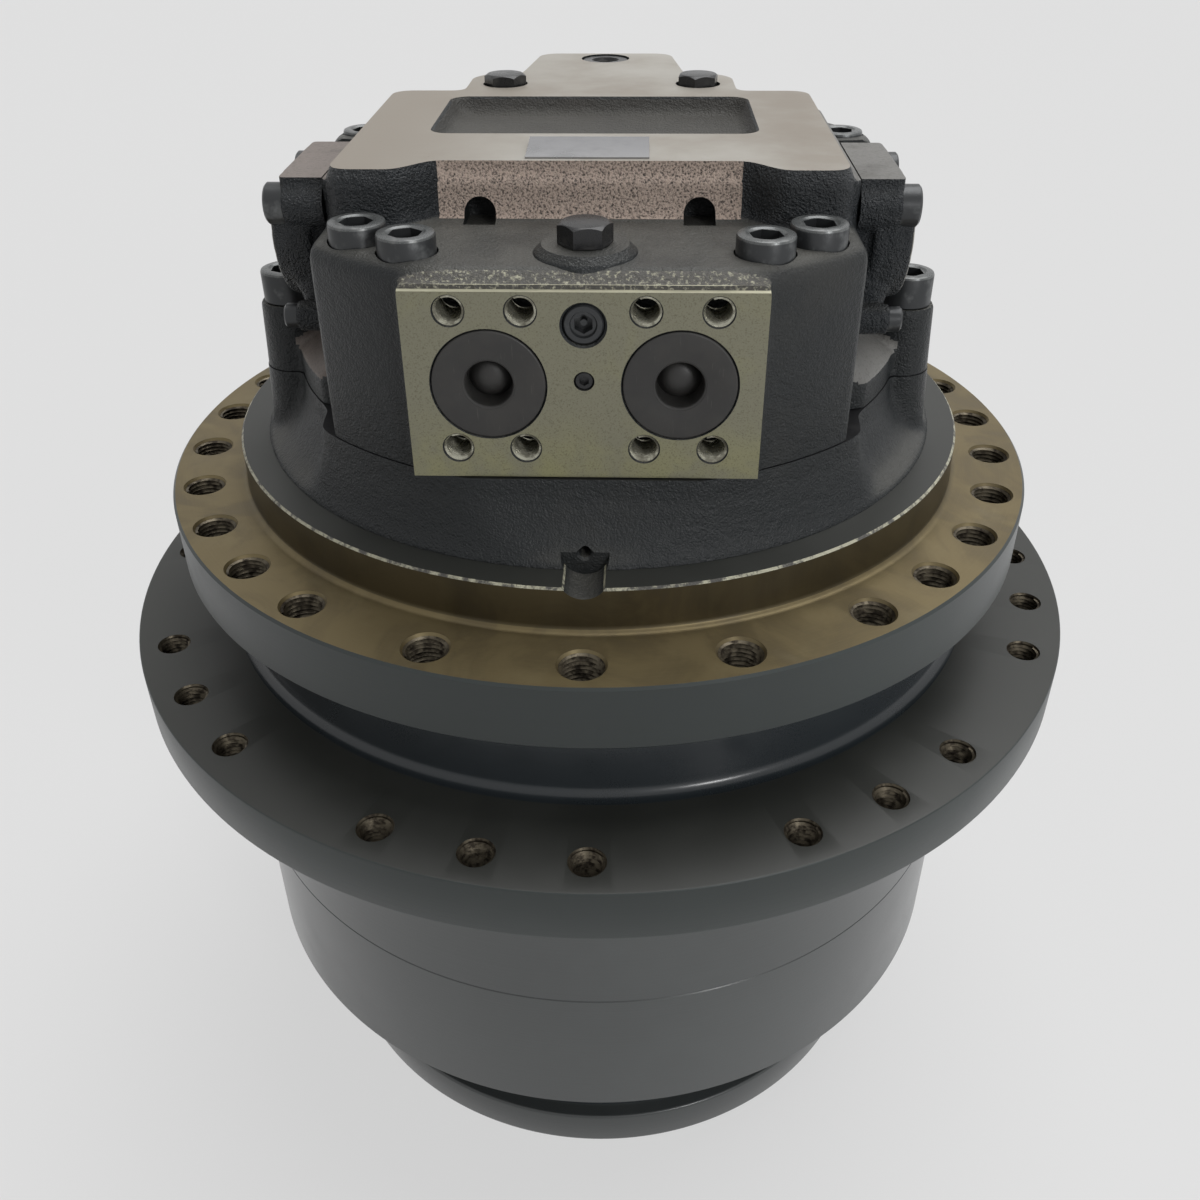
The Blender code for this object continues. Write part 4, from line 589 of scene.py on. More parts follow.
def socketPlug(name, shape, slots, pocket, place, turn=None, pin=None):
    # turned, with a hexagon pocket: its flats, twist, floor and mouth
    flats, twist, low, high = pocket
    plug = meshPiece(name, shape, slots)
    carve(plug, [prism(hexagon(flats, twist), low, high)])
    if pin:
        carve(plug, [pin], operation='UNION')
    return smoothed(edited(plug, moved, place, turn), 30)


def dress(piece, body, slot, *nodes):
    if nodes:
        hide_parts(*nodes)
    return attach(piece, body)


# hub with the sprocket flange
hubSizes = Sizes(
    low=0.202, drum=0.245, flangeLow=0.3175, flangeHigh=0.350, flange=0.296, edge=0.0022, neckFoot=0.231,
    fillet=0.007, neckTop=0.222, top=0.4005, bore=0.2043, holeCircle=0.276, holes=32, phase=0.6,
    core=0.0078, root=0.0090, mouth=0.0096, pitch=0.0025)


def makeHub():
    s = hubSizes
    edge, fillet = s.edge, s.fillet
    profile = [(s.bore, s.low), (s.drum - 0.0005, s.low), (s.drum, s.low + 0.0005),
               (s.drum, s.flangeLow - 0.003)]
    profile += bend(s.drum, s.flangeLow, 0.003, 180, 90, 4)
    profile += bend(s.flange, s.flangeLow, edge, 270, 360, 3)
    profile += bend(s.flange, s.flangeHigh, 0.0012, 0, 90, 3)
    profile += bend(s.neckFoot, s.flangeHigh, fillet, 270, 180, 8)
    profile += [(s.neckTop + 0.0012, s.top - 0.0015), (s.neckTop, s.top), (s.bore, s.top)]
    hub = meshPiece('sprocketHub', turnedShape(profile, 224),
                    ['turned', 'face', 'neck', 'rim', 'brownThread'])
    below = s.flangeLow - 0.004
    foot = [(0, below), (s.root, below)]
    angles = [s.phase + 360 * slot / s.holes for slot in range(s.holes) if slot % 4 != 1]
    cuts, threads = zip(*[
        tappedHole(s, (*around(s.holeCircle, angle), 0), foot, s.flangeLow + 0.001, s.flangeHigh, 0.0006, 36)
        for angle in angles])
    carve(hub, cuts)
    neckStart = s.neckFoot + fillet

    def choose(middle, normal):
        reach = math.hypot(middle.x, middle.y)
        if middle.z > s.flangeHigh - 0.0001 and reach < neckStart + 0.0005:
            return 2
        if middle.z > s.flangeHigh - 0.0008 and normal.z > 0.9:
            return 1
        if reach > s.flange - 0.004 and abs(normal.z) < 0.95:
            return 3
        if s.drum + 0.01 < reach < s.flange - 0.005 and abs(normal.z) < 0.9:
            return 4
        return 0
    paintFaces(hub, choose)
    dress(smoothed(hub, 28), 'hub', 'painted_steel', 'sprocket_hub', 'sprocket_flange')
    sleeves = meshPiece('sprocketHoleThreads', together(threads), ['brownThread'], 40)
    dress(sleeves, 'hub', 'painted_steel')
    print('hub turned with', len(cuts), 'tapped holes')


# ring gear: the lower half of the drum
ringSizes = Sizes(low=0.102, high=0.2017, outer=0.245, edge=0.0022, root=0.2010, tip=0.184, teeth=48)


def makeRing():
    s = ringSizes
    outer = circle(s.outer, 224)
    inner = []
    shares = ((-0.40, 'root'), (-0.17, 'tip'), (0.17, 'tip'), (0.40, 'root'))
    for tooth in range(s.teeth):
        for share, reach in shares:
            turn = math.tau * (tooth + 0.5 + share) / s.teeth
            inner.append((s[reach] * math.cos(turn), s[reach] * math.sin(turn)))
    bm = bmesh.new()
    levels = []
    for z, inset in ((s.low, s.edge), (s.low + s.edge, 0), (s.high - 0.0005, 0), (s.high, 0.0005)):
        share = 1 - inset / s.outer
        levels.append(([bm.verts.new((x * share, y * share, z)) for x, y in outer],
                       [bm.verts.new((x, y, z)) for x, y in inner]))
    for (lowOuter, lowInner), (highOuter, highInner) in zip(levels, levels[1:]):
        for low, high in ((lowOuter, highOuter), (lowInner, highInner)):
            for number in range(len(low)):
                other = (number + 1) % len(low)
                bm.faces.new((low[number], low[other], high[other], high[number]))
    for line, hole in (levels[0], levels[-1]):
        edges = []
        for ring in (line, hole):
            for number in range(len(ring)):
                edges.append(bm.edges.get((ring[number], ring[(number + 1) % len(ring)])))
        bmesh.ops.triangle_fill(bm, use_beauty=True, edges=edges)
    bmesh.ops.recalc_face_normals(bm, faces=bm.faces)
    ring = meshPiece('ringDrum', bm, ['turned', 'gearSteel'], 28)
    paintFaces(ring, lambda middle, normal: 1 if math.hypot(middle.x, middle.y) < s.root + 0.001 else 0)
    dress(ring, 'hub', 'painted_steel', 'ring_gear')
    print('ring gear drum made')


# end cover, the rim that the drive stands on
coverSizes = Sizes(
    top=0.1017, foot=0.208, footHigh=0.028, neck=0.196, flangeLow=0.080, recess=0.150, recessDeep=0.003,
    inner=0.170, floor=0.021, plugs=0.110, plugHead=0.0175, plugHole=0.0115, plugSeat=0.0095,
    plugDeep=0.0172, gap=0.0005)


def makeEndCover():
    s = coverSizes
    profile = [(0, s.recessDeep), (s.recess - 0.002, s.recessDeep), (s.recess, 0)]
    profile += bend(s.foot, 0, 0.003, 270, 360, 4)
    profile += bend(s.foot, s.footHigh, 0.002, 0, 90, 4)
    profile += bend(s.neck, s.footHigh, 0.004, 270, 180, 4)
    profile += bend(s.neck, s.flangeLow, 0.004, 180, 90, 4)
    profile += bend(s.foot, s.flangeLow, 0.002, 270, 360, 3)
    profile += [(s.foot, s.top), (s.inner, s.top), (s.inner, s.floor + 0.008)]
    profile += [(s.inner - 0.008, s.floor), (0, s.floor)]
    cover = meshPiece('endCover', turnedShape(profile, 224), ['turned', 'neck'])
    pocket = onAxis((s.plugHead, -0.004), (s.plugHead, s.plugSeat), (s.plugHole, s.plugSeat),
                    (s.plugHole, s.plugDeep))
    carve(cover, [turnedShape(pocket, 40, (side * s.plugs, 0, 0)) for side in (-1, 1)])
    paintFaces(cover, lambda middle, normal: 1 if s.footHigh + 0.0005 < middle.z < s.flangeLow else 0)
    dress(smoothed(cover, 28), 'hub', 'painted_casting', 'end_cover')
    head = s.plugHead - s.gap
    profile = onAxis((s.plugHole - s.gap, s.plugDeep - 0.0002), (s.plugHole - s.gap, s.plugSeat - 0.0002),
                     (head, s.plugSeat - 0.0002), (head, 0.0036), (head - 0.0006, 0.0030))
    for number, side in ((1, 1), (2, -1)):
        plug = socketPlug('endCoverPlug%d' % number, turnedShape(profile, 40), ['bolt'],
                          (0.012, 0, -0.004, 0.0090), (side * s.plugs, 0, 0))
        dress(plug, 'hub', 'black_bolt')
    print('end cover made')


# frame flange with its pilot, and the casing of the motor
flangeSizes = Sizes(
    low=0.403, high=0.441, inner=0.120, outer=0.258, edge=0.0013, pilot=0.215, pilotHigh=0.466,
    pilotEdge=0.0011, fillet=0.004, holeCircle=0.240, core=0.0096, root=0.0110, mouth=0.0121,
    pitch=0.0025, deep=0.026, spot=0.0118, spotHeight=0.472, spotDeep=0.022, spotBore=0.003)
casingSizes = Sizes(
    nose=0.188, waist=0.174, noseAngle=46, waistAngle=54, rearNose=60, rearWaist=72, front=0.1765,
    seamFront=0.1790, low=0.466, joint=0.505, sideBolt=77, sideCircle=0.176, sideBoss=0.0160,
    grain=0.0022, rounds=6,
    # a round foot that runs up into the outline: height, then how far nose, waist and front stand out
    flare=((-0.008, 0.0120, 0.0260, 0.0210), (0.0010, 0.0112, 0.0252, 0.0202),
           (0.0030, 0.0090, 0.0215, 0.0175), (0.0080, 0.0065, 0.0140, 0.0125),
           (0.0160, 0.0040, 0.0070, 0.0070), (0.0290, 0.0013, 0.0015, 0.0022), (0.0450, 0, 0, 0)))


def casingLine(nose, waist, front, points=144):
    s = casingSizes
    line = []
    for number in range(points):
        angle = 360 * number / points
        off = min(angle, 360 - angle)
        ahead = (off - s.noseAngle) / (s.waistAngle - s.noseAngle)
        behind = (180 - off - s.rearNose) / (s.rearWaist - s.rearNose)
        blend = eased(min(1, max(0, min(ahead, behind))))
        x, y = around(nose + (waist - nose) * blend, angle)
        line.append((x, max(y, -front)))
    return line


def sideBosses(*points):
    # the bosses under the side bolts: how far each point stands out past the boss, and its height
    s = casingSizes
    profile = onAxis(*[(s.sideBoss + past, z) for past, z in points])
    return [turnedShape(profile, 48, (*around(s.sideCircle, side * s.sideBolt), 0)) for side in (-1, 1)]


def flangeAngles():
    half = [0, 18, 36] + list(range(48, 144, 12)) + [144, 162]
    return half + [180] + [-angle for angle in half if angle]


def makeFrameFlange():
    s = flangeSizes
    edge = s.edge
    profile = [(s.inner, s.low), (s.outer - 0.003, s.low), (s.outer, s.low + 0.003)]
    profile += [(s.outer, s.high - edge), (s.outer - edge, s.high)]
    profile += bend(s.pilot, s.high, s.fillet, 270, 180, 6)
    profile += [(s.pilot, s.pilotHigh - s.pilotEdge), (s.pilot - s.pilotEdge, s.pilotHigh),
                (s.inner, s.pilotHigh)]
    slots = ['brown', 'rim', 'casting', 'brownThread', 'face', 'wornLine', 'pilotWall']
    flange = meshPiece('frameFlange', turnedShape(profile, 240), slots)
    floor = s.high - s.deep
    foot = [(0, floor - 0.005), (s.core, floor), (s.root, floor)]
    cuts, threads = zip(*[
        tappedHole(s, (*around(s.holeCircle, angle), 0), foot, floor + 0.0005, s.high, 0.0004, 40)
        for angle in flangeAngles()])
    carve(flange, cuts)
    spot = onAxis((s.spot, s.pilot - s.spotDeep), (s.spot, s.pilot + 0.012))
    carve(flange, [turnedShape(spot, 56, (0, 0, s.spotHeight), facingFront)])

    def choose(middle, normal):
        reach = math.hypot(middle.x, middle.y)
        if (reach > s.outer - edge and normal.z < 0.9) or middle.z < s.low + 0.003:
            return 1
        if middle.z > s.pilotHigh - s.pilotEdge and normal.z > 0.3:
            return 4 if normal.z > 0.9 else 5
        if reach < s.pilot - 0.003:
            return 2
        if reach < s.pilot + 0.0006 and abs(normal.z) < 0.5:
            return 6
        if reach > s.pilot + 0.006 and abs(normal.z) < 0.9 and middle.z < s.high - 0.0015:
            return 3
        return 0
    paintFaces(flange, choose)
    dress(smoothed(flange, 28), 'case', 'bare_casting', 'motor_case', 'frame_flange')
    sleeves = meshPiece('frameHoleThreads', together(threads), ['brownThread'], 40)
    dress(sleeves, 'case', 'bare_casting')
    print('frame flange turned with', len(cuts), 'tapped holes')


def makeCasing():
    s = casingSizes
    shapes = [stacked([(casingLine(s.nose + nose, s.waist + waist, s.seamFront + front), s.low + height)
                       for height, nose, waist, front in s.flare])]
    shapes += sideBosses((0.0040, s.low - 0.006), (0.0016, s.joint), (0.0014, s.joint + 0.006))
    casing = castForm('motorCasing', shapes, ['casting', 'hollow'], s.grain, s.rounds)
    carve(casing, [prism(everywhere, s.low - 0.1, s.low + 0.0002),
                   prism(everywhere, s.joint - 0.0001, s.joint + 0.1)])
    f = flangeSizes
    flat = f.pilot - f.spotDeep
    pin = onAxis((f.spotBore, flat - 0.014), (f.spotBore, flat - 0.0012), (f.spotBore + 0.0012, flat),
                 (f.spot, flat), (f.spot, f.pilot + 0.012))
    carve(casing, [turnedShape(pin, 56, (0, 0, f.spotHeight), facingFront)])
    # its top face in the joint gets the near-black painted shade
    paintFaces(casing, lambda middle, normal: 1 if middle.z > s.joint - 0.0005 and normal.z > 0.9 else 0)
    dress(smoothed(casing, 32), 'case', 'painted_casting', 'motor_case')
    print('motor casing cast')


# rear cover: port block, top plate, tongue
rearSizes = Sizes(
    low=0.5053, top=0.6040, plate=0.631, round=0.0065, stepX=0.1298, stepFront=-0.102, stepBack=0.066,
    wall=0.520, ledge=0.538, portHalf=0.0815, portFront=0.178, portTop=0.598, portEdge=0.0009,
    sideHalf=0.130, sideFront=-0.0985, sideLow=0.546, sideTop=0.622, noseHalf=0.0727, noseFront=0.096,
    noseFoot=0.1005, lobe=0.0032, lobeIn=0.094, front=0.112, half=0.1215, back=0.068, stepHalf=0.080,
    stepTo=0.105, neckHalf=0.049, neckTo=0.130, tongueHalf=0.044, tongueTo=0.194, tongueLow=0.551,
    pocketHalf=0.085, pocketFront=-0.040, pocketBack=0.051, pocketDeep=0.009, pocketSlope=0.007,
    archX=0.053, archZ=0.6072, arch=0.0077, archFoot=0.6012, archTo=0.108, boltCircle=0.169,
    bolts=((28.5, 0.595), (38.99, 0.595), (120, 0.588), (156, 0.588)), headRoom=0.0143, sideSeat=0.5418,
    hexFront=-0.148, boss=0.0232, bossTop=0.0205, bossHigh=0.608, topHexX=0.0585, topHexY=0.090,
    spot=0.0135, spotDeep=0.004, flushY=0.176, flush=0.0159, flushDeep=0.0125,
    sillX=0.126, sillFront=-0.120, sillBack=0.085, boltHole=0.0093, stem=0.0085, grain=0.0020, rounds=7)
portSizes = Sizes(
    apart=0.087, height=0.5537, boltsWide=0.0318, boltsTall=0.0667, core=0.0060, root=0.0070, mouth=0.0073,
    pitch=0.002, deep=0.022, plug=0.0261, plugDeep=0.008, plugHeight=0.5521, plugStem=0.0155,
    dish=0.0122, cup=0.0106, cupDeep=0.0125, dome=0.0096, domeHigh=0.0055, bore=0.016, boreDeep=0.036,
    faceHole=0.0096, faceDeep=0.0102, faceHeight=0.5807, smallHole=0.0047, smallHeight=0.5543)


def plateLine(grow=0.0):
    # the lobes and the back grow, the nose between them stays
    s = Sizes(rearSizes)
    for name in ('front', 'half', 'back', 'stepHalf', 'stepTo', 'neckHalf', 'tongueHalf', 'tongueTo'):
        s[name] += grow * (0.3 if name == 'tongueTo' else 1)
    s['noseHalf'] -= grow
    right = [(s.noseHalf - 0.012, -s.noseFront)]
    for number in range(9):
        share = number / 8
        right.append((s.noseHalf + (s.lobeIn - s.noseHalf) * share,
                      -s.noseFront - (s.front - s.noseFront) * eased(share)))
    right += bend(s.half, -s.front, 0.009, 270, 360, 6)
    right += bend(s.half, s.back, 0.010, 0, 90, 5)
    right += [(s.stepHalf + 0.004, s.back), (s.stepHalf, s.back + 0.004)]
    right += arc((s.stepHalf - 0.022, s.stepTo - 0.004), 0.022, 10, 70, 5)
    right += [(s.neckHalf + 0.002, s.neckTo - 0.008), (s.neckHalf, s.neckTo + 0.006)]
    right += bend(s.tongueHalf, s.tongueTo, 0.012, 0, 90, 6)
    return right + [(-x, y) for x, y in reversed(right)]


def steppedLine(line, back):
    # flat side walls from the front to the step at the back
    s = rearSizes
    return [(math.copysign(min(abs(x), s.stepX), x) if y < back else x, y) for x, y in line]


def shrunk(line, inset):
    return [(x * (1 - inset / math.hypot(x, y)), y * (1 - inset / math.hypot(x, y))) for x, y in line]


def rearShapes():
    s, c = rearSizes, casingSizes
    whole = casingLine(c.nose, c.waist, c.front - 0.0005, 240)
    cheeks = steppedLine(whole, s.stepFront)
    narrow = steppedLine(whole, s.stepBack)
    shapes = [stacked([
        (cheeks, s.low - 0.012), (cheeks, s.wall), (narrow, s.ledge), (narrow, s.top - s.round),
        (shrunk(narrow, 0.0024), s.top - 0.0024), (shrunk(narrow, s.round), s.top)])]
    pad = roundedBox(-s.portHalf, s.portHalf, -s.portFront - 0.010, -0.1, 0.002, 2)
    shapes.append(stacked([(pad, s.low - 0.012), (pad, s.portTop - 0.004), (pad, s.portTop + 0.0008)]))
    plate = plateLine()
    skirt = plateLine(s.lobe)
    shapes.append(stacked([(plateLine(s.lobe + 0.002), s.top - 0.006), (skirt, s.top + 0.006),
                           (skirt, s.plate - 0.007), (plateLine(s.lobe * 0.75), s.plate - 0.0035),
                           (plateLine(s.lobe * 0.3), s.plate - 0.001), (plate, s.plate + 0.001),
                           (plate, s.plate + 0.010)]))
    side = roundedBox(-s.sideHalf, s.sideHalf, s.sideFront, s.back - 0.004, 0.004, 2)
    shapes.append(prism(side, s.sideLow, s.sideTop + 0.0006))
    tongue = roundedBox(-s.tongueHalf, s.tongueHalf, s.back - 0.01, s.tongueTo, 0.012)
    shapes.append(prism(tongue, s.tongueLow, s.sideTop))
    shapes += sideBosses((0.0014, s.low - 0.012), (0.0012, s.low), (-0.0004, s.sideSeat + 0.001))
    wedge = [(-s.noseFoot - 0.001, s.top - 0.006), (-s.noseFront + 0.02, s.top - 0.006),
             (-s.noseFront + 0.02, s.plate + 0.004), (-s.noseFront + 0.0018, s.plate + 0.004)]
    shapes.append(moved(prism(wedge, -s.noseHalf - 0.001, s.noseHalf + 0.001), turn=alongX))
    return shapes


def coverBoltPlaces():
    s, c = rearSizes, casingSizes
    places = []
    for side in (-1, 1):
        for angle, seat in s.bolts:
            places.append((*around(s.boltCircle, side * angle), seat))
        places.append((*around(c.sideCircle, side * c.sideBolt), s.sideSeat))
    return places


def portHolePlaces():
    p = portSizes
    return [(side * p.apart / 2 + across * p.boltsWide / 2, 0, p.height + up * p.boltsTall / 2)
            for side in (-1, 1) for across in (-1, 1) for up in (-1, 1)]


def rearCuts():
    s, p = rearSizes, portSizes
    planes = [prism(everywhere, s.low - 0.2, s.low), prism(everywhere, s.plate, s.plate + 0.2)]
    ahead = prism(roundedBox(-0.3, 0.3, -0.4, -s.portFront, 0.01, 1), s.low - 0.05, s.plate + 0.05)
    pocket = []
    for share, z in ((1.0, 0.0), (0.55, 0.25), (0.25, 0.55), (0.06, 0.85), (-0.12, 1.02), (-0.16, 1.5)):
        inset = s.pocketSlope * share
        pocket.append((roundedBox(-s.pocketHalf + inset, s.pocketHalf - inset, s.pocketFront + inset,
                                  s.pocketBack - inset, 0.010 - inset * 0.4),
                       s.plate - s.pocketDeep * (1 - z)))
    holes = [stacked(pocket)]
    for x, y, seat in coverBoltPlaces():
        room = onAxis((s.boltHole, seat - 0.008), (s.boltHole, seat), (s.headRoom, seat),
                      (s.headRoom, s.plate + 0.02))
        holes.append(turnedShape(room, 48, (x, y, 0)))
    for side in (-1, 1):
        line = arc((0, s.archZ), s.arch, 0, 180, 16) + [(-s.arch, s.archFoot), (s.arch, s.archFoot)]
        arch = prism(line, s.noseFront - 0.014, s.archTo)
        holes.append(moved(arch, (side * s.archX, 0, 0), facingFront))
        spot = onAxis((s.stem, s.plate - 0.015), (s.stem, s.plate - s.spotDeep),
                      (s.spot, s.plate - s.spotDeep), (s.spot, s.plate + 0.02))
        holes.append(turnedShape(spot, 48, (side * s.topHexX, s.topHexY, 0)))
    holes.append(moved(cylinder(s.stem, s.bossHigh - 0.012, s.bossHigh + 0.012, 40), (0, s.hexFront, 0)))
    holes.append(moved(cylinder(s.flush, s.plate - s.flushDeep, s.plate + 0.02), (0, s.flushY, 0)))
    face = s.portFront
    out = face + 0.02
    port = onAxis((p.bore, face - p.boreDeep), (p.bore, face - p.plugDeep - 0.0003),
                  (p.plug + 0.0003, face - p.plugDeep - 0.0003), (p.plug + 0.0003, face - 0.0005),
                  (p.plug + 0.0009, face + 0.0001), (p.plug + 0.0009, out))
    for side in (-1, 1):
        holes.append(turnedShape(port, 72, (side * p.apart / 2, 0, p.plugHeight), facingFront))
    room = onAxis((p.root, face - p.deep), (p.root, face - 0.0006), (p.mouth + 0.0002, face),
                  (p.mouth + 0.0002, out))
    for place in portHolePlaces():
        holes.append(turnedShape(room, 32, place, facingFront))
    seat = onAxis((p.faceHole, face - p.faceDeep), (p.faceHole, face - 0.0010), (p.faceHole + 0.0010, face),
                  (p.faceHole + 0.0010, out))
    holes.append(turnedShape(seat, 48, (0, 0, p.faceHeight), facingFront))
    small = onAxis((p.smallHole, face - 0.004), (p.smallHole, out))
    holes.append(turnedShape(small, 32, (0, 0, p.smallHeight), facingFront))
    return planes, ahead, holes


def makeRearCover():
    s = rearSizes
    slots = ['casting', 'plate', 'port', 'broken', 'step', 'glossCasting', 'hollow', 'pocket', 'chipped',
             'portEdge']
    cover = castForm('rearCover', rearShapes(), slots, s.grain, s.rounds)
    planes, ahead, holes = rearCuts()
    carve(cover, planes)
    carve(cover, [ahead])
    # a narrow chamfer along the top of the port face
    front, top, edge = -s.portFront, s.portTop - 0.0012, s.portEdge
    chamfer = [(front - 0.004, top - edge), (front, top - edge), (front + edge, top),
               (front + edge, top + 0.0022), (front - 0.004, top + 0.0022)]
    carve(cover, [moved(prism(chamfer, -s.portHalf - 0.002, s.portHalf + 0.002), turn=alongX)])
    ring = onAxis((s.boss + 0.002, s.top - 0.004), (s.boss + 0.0004, s.top + 0.0004),
                  (s.boss - 0.0004, s.top + 0.0012), (s.bossTop, s.bossHigh - 0.0006),
                  (s.bossTop - 0.0006, s.bossHigh))
    carve(cover, [turnedShape(ring, 64, (0, s.hexFront, 0))], operation='UNION')
    carve(cover, holes)
    high = s.plate - 0.0004

    def choose(middle, normal):
        x, y, z = middle
        if z > high and normal.z > 0.9:
            return 1
        if abs(x) < s.portHalf and y < front + edge and top - edge < z and normal.z > 0.3:
            return 9
        if y < front + 0.0003 and normal.y < -0.9:
            return 2
        if abs(x) < s.portHalf and y < front + 0.008 and top < z < s.top - 0.0012:
            return 8
        if abs(x) < s.pocketHalf and s.pocketFront < y < s.pocketBack and z < high + 0.0002:
            return 7
        if abs(x) < s.noseHalf - 0.0005 and -s.noseFoot - 0.004 < y < -s.noseFront + 0.003:
            if s.top + 0.0010 < z < high and normal.y < -0.4:
                return 3
        if z > s.sideTop - 0.003 and normal.z > 0.6 and abs(x) > s.half - 0.001:
            return 4
        if -s.front - 0.004 < y < -s.noseFront + 0.010 and s.top + 0.002 < z < high:
            return 5
        sill = abs(x) > s.sillX and s.sillFront < y < s.sillBack
        if sill and s.wall - 0.008 < z < s.ledge and normal.z > 0.15:
            return 4
        return 0
    paintFaces(cover, choose)
    dress(smoothed(cover, 34), 'case', 'painted_casting', 'rear_cover')
    print('rear cover cast and cut:', len(cover.data.polygons), 'faces')


def makePortThreads():
    p, face = portSizes, rearSizes.portFront
    sleeves = [moved(thread(p.core, p.root - 0.00004, p.pitch, face - p.deep + 0.0005, face - 0.0008),
                     place, facingFront)
               for place in portHolePlaces()]
    dress(meshPiece('portHoleThreads', together(sleeves), ['thread'], 40), 'case', 'painted_casting')


# plugs in the port face
def makePortPlugs():
    p, face = portSizes, rearSizes.portFront
    profile = [(0, face - 0.017), (p.plugStem, face - 0.017), (p.plugStem, face - p.plugDeep),
               (p.plug, face - p.plugDeep), (p.plug, face - 0.0006)]
    profile += bend(p.plug, face + 0.0004, 0.0010, 0, 90, 4)
    profile += [(0.0160, face - 0.0004), (p.dish, face - 0.0006)]
    profile += arc((p.dish - 0.0001, face - 0.0020), 0.0012, 90, 180, 3) + [(p.cup, face - p.cupDeep)]
    for turn in (8, 25, 42, 60, 78):    # a dome in the cup
        way = math.radians(turn)
        profile.append((p.dome * math.cos(way), face - p.cupDeep + p.domeHigh * math.sin(way)))
    profile.append((0, face - 0.0070))
    for side, name in ((-1, 'left'), (1, 'right')):
        plug = meshPiece('portPlug_' + name, turnedShape(profile, 96), ['plastic', 'hollow'])
        edited(plug, moved, (side * p.apart / 2, 0, p.plugHeight), facingFront)
        dress(smoothed(plug, 30), 'case', 'black_plastic', 'port_plug_' + name)
    ring = onAxis((0.0092, face - 0.0095), (0.0092, face - 0.0016), (0.0084, face - 0.0008),
                  (0.0062, face - 0.0008), (0.0056, face - 0.0022))
    pocket = (0.0080, 30, face - 0.0075, face + 0.01)
    pin = cylinder(0.0015, face - 0.0085, face - 0.0040, 20)
    socket = socketPlug('portFaceSocketPlug', turnedShape(ring, 56), ['bolt', 'hollow'], pocket,
                        (0, 0, p.faceHeight), facingFront, pin)
    dress(socket, 'case', 'black_bolt')
    small = onAxis((0.0045, face - 0.0035), (0.0045, face - 0.0012), (0.0038, face - 0.0006))
    plug = socketPlug('portFaceSmallPlug', turnedShape(small, 40), ['plug'],
                      (0.0042, 30, face - 0.003, face + 0.01), (0, 0, p.smallHeight), facingFront)
    dress(plug, 'case', 'black_bolt')
    print('port face plugs made')


# socket bolts of the cover
boltSizes = Sizes(
    head=0.0135, high=0.018, edge=0.0011, socket=0.0140, deep=0.0095, shank=0.0088, shankLong=0.0065)


def makeCoverBolts():
    s = boltSizes
    profile = onAxis((s.shank, -s.shankLong), (s.shank, 0.0003), (s.head - 0.0006, 0.0003),
                     (s.head, 0.0010), (s.head, s.high - s.edge * 1.3),
                     (s.head - s.edge * 0.4, s.high - s.edge * 0.4), (s.head - s.edge * 1.4, s.high),
                     (s.socket / math.sqrt(3) + 0.0012, s.high), (s.socket / math.sqrt(3), s.high - 0.0007))
    bolt = meshPiece('boltPattern', turnedShape(profile, 64), ['bolt', 'boltEdge', 'hollow'])
    carve(bolt, [prism(hexagon(s.socket), s.high - s.deep, s.high + 0.01)])

    def choose(middle, normal):
        reach = math.hypot(middle.x, middle.y)
        if reach < s.socket / math.sqrt(3) - 0.0004 and middle.z < s.high - 0.0009:
            # the socket's floor gets the near-black painted shade
            return 2 if middle.z < s.high - s.deep + 0.0005 else 0
        return 1 if normal.z > 0.2 and middle.z > s.high - s.edge * 1.4 else 0
    paintFaces(bolt, choose)
    smoothed(bolt, 30)
    mesh = bolt.data
    bpy.data.objects.remove(bolt)
    for number, place in enumerate(coverBoltPlaces(), 1):
        turned = newObject('coverBolt_%02d' % number, mesh)
        turned.matrix_world = Matrix.Translation(Vector(place)) @ turnAbout('Z', random.uniform(0, 60))
        dress(turned, 'case', 'black_bolt', 'cover_bolt_%02d' % number)
    print('cover bolts set')


# hexagon plugs and the flush plug in the tongue
hexSizes = Sizes(flats=0.022, high=0.0098, stem=0.0082, washer=0.0118, washerHigh=0.0016)


def hexPlug(name, place, node, turn=0):
    s = hexSizes
    corner = s.flats / math.sqrt(3)
    head = prism(hexagon(s.flats, turn), 0.0003, s.high)
    piece = meshPiece(name, head, ['plug', 'boltEdge'], 30)
    crown = onAxis((corner + 0.0004, -0.01), (corner + 0.0004, s.high - 0.0018),
                   (s.flats / 2 - 0.0004, s.high - 0.00003), (s.flats / 2 - 0.0014, s.high + 0.0002))
    carve(piece, [turnedShape(crown, 64)], operation='INTERSECT')
    foot = onAxis((s.stem, -0.011), (s.stem, 0.0002), (s.washer - 0.0006, 0.0002), (s.washer, 0.0006),
                  (s.washer, s.washerHigh))
    carve(piece, [turnedShape(foot, 48)], operation='UNION')
    edited(piece, moved, place)
    dress(smoothed(piece, 28), 'case', 'black_bolt', node)


def makeHexPlugs():
    s = rearSizes
    hexPlug('frontHexPlug', (0, s.hexFront, s.bossHigh), 'front_hex_plug', 8)
    for side, name in ((-1, 'left'), (1, 'right')):
        hexPlug('topHexPlug_' + name, (side * s.topHexX, s.topHexY, s.plate - s.spotDeep),
                'top_hex_plug_' + name, 10 + 10 * side)
    low, high = s.plate - 0.012, s.plate - 0.0008
    profile = onAxis((0.0155, low), (0.0155, high - 0.0010), (0.0145, high), (0.0090, high),
                     (0.0084, high - 0.0016))
    plug = socketPlug('tonguePlug', turnedShape(profile, 64), ['plug'],
                      (0.010, 10, low + 0.005, high + 0.01), (0, s.flushY, 0))
    dress(plug, 'case', 'black_bolt', 'tongue_plug')
    print('hexagon plugs made')


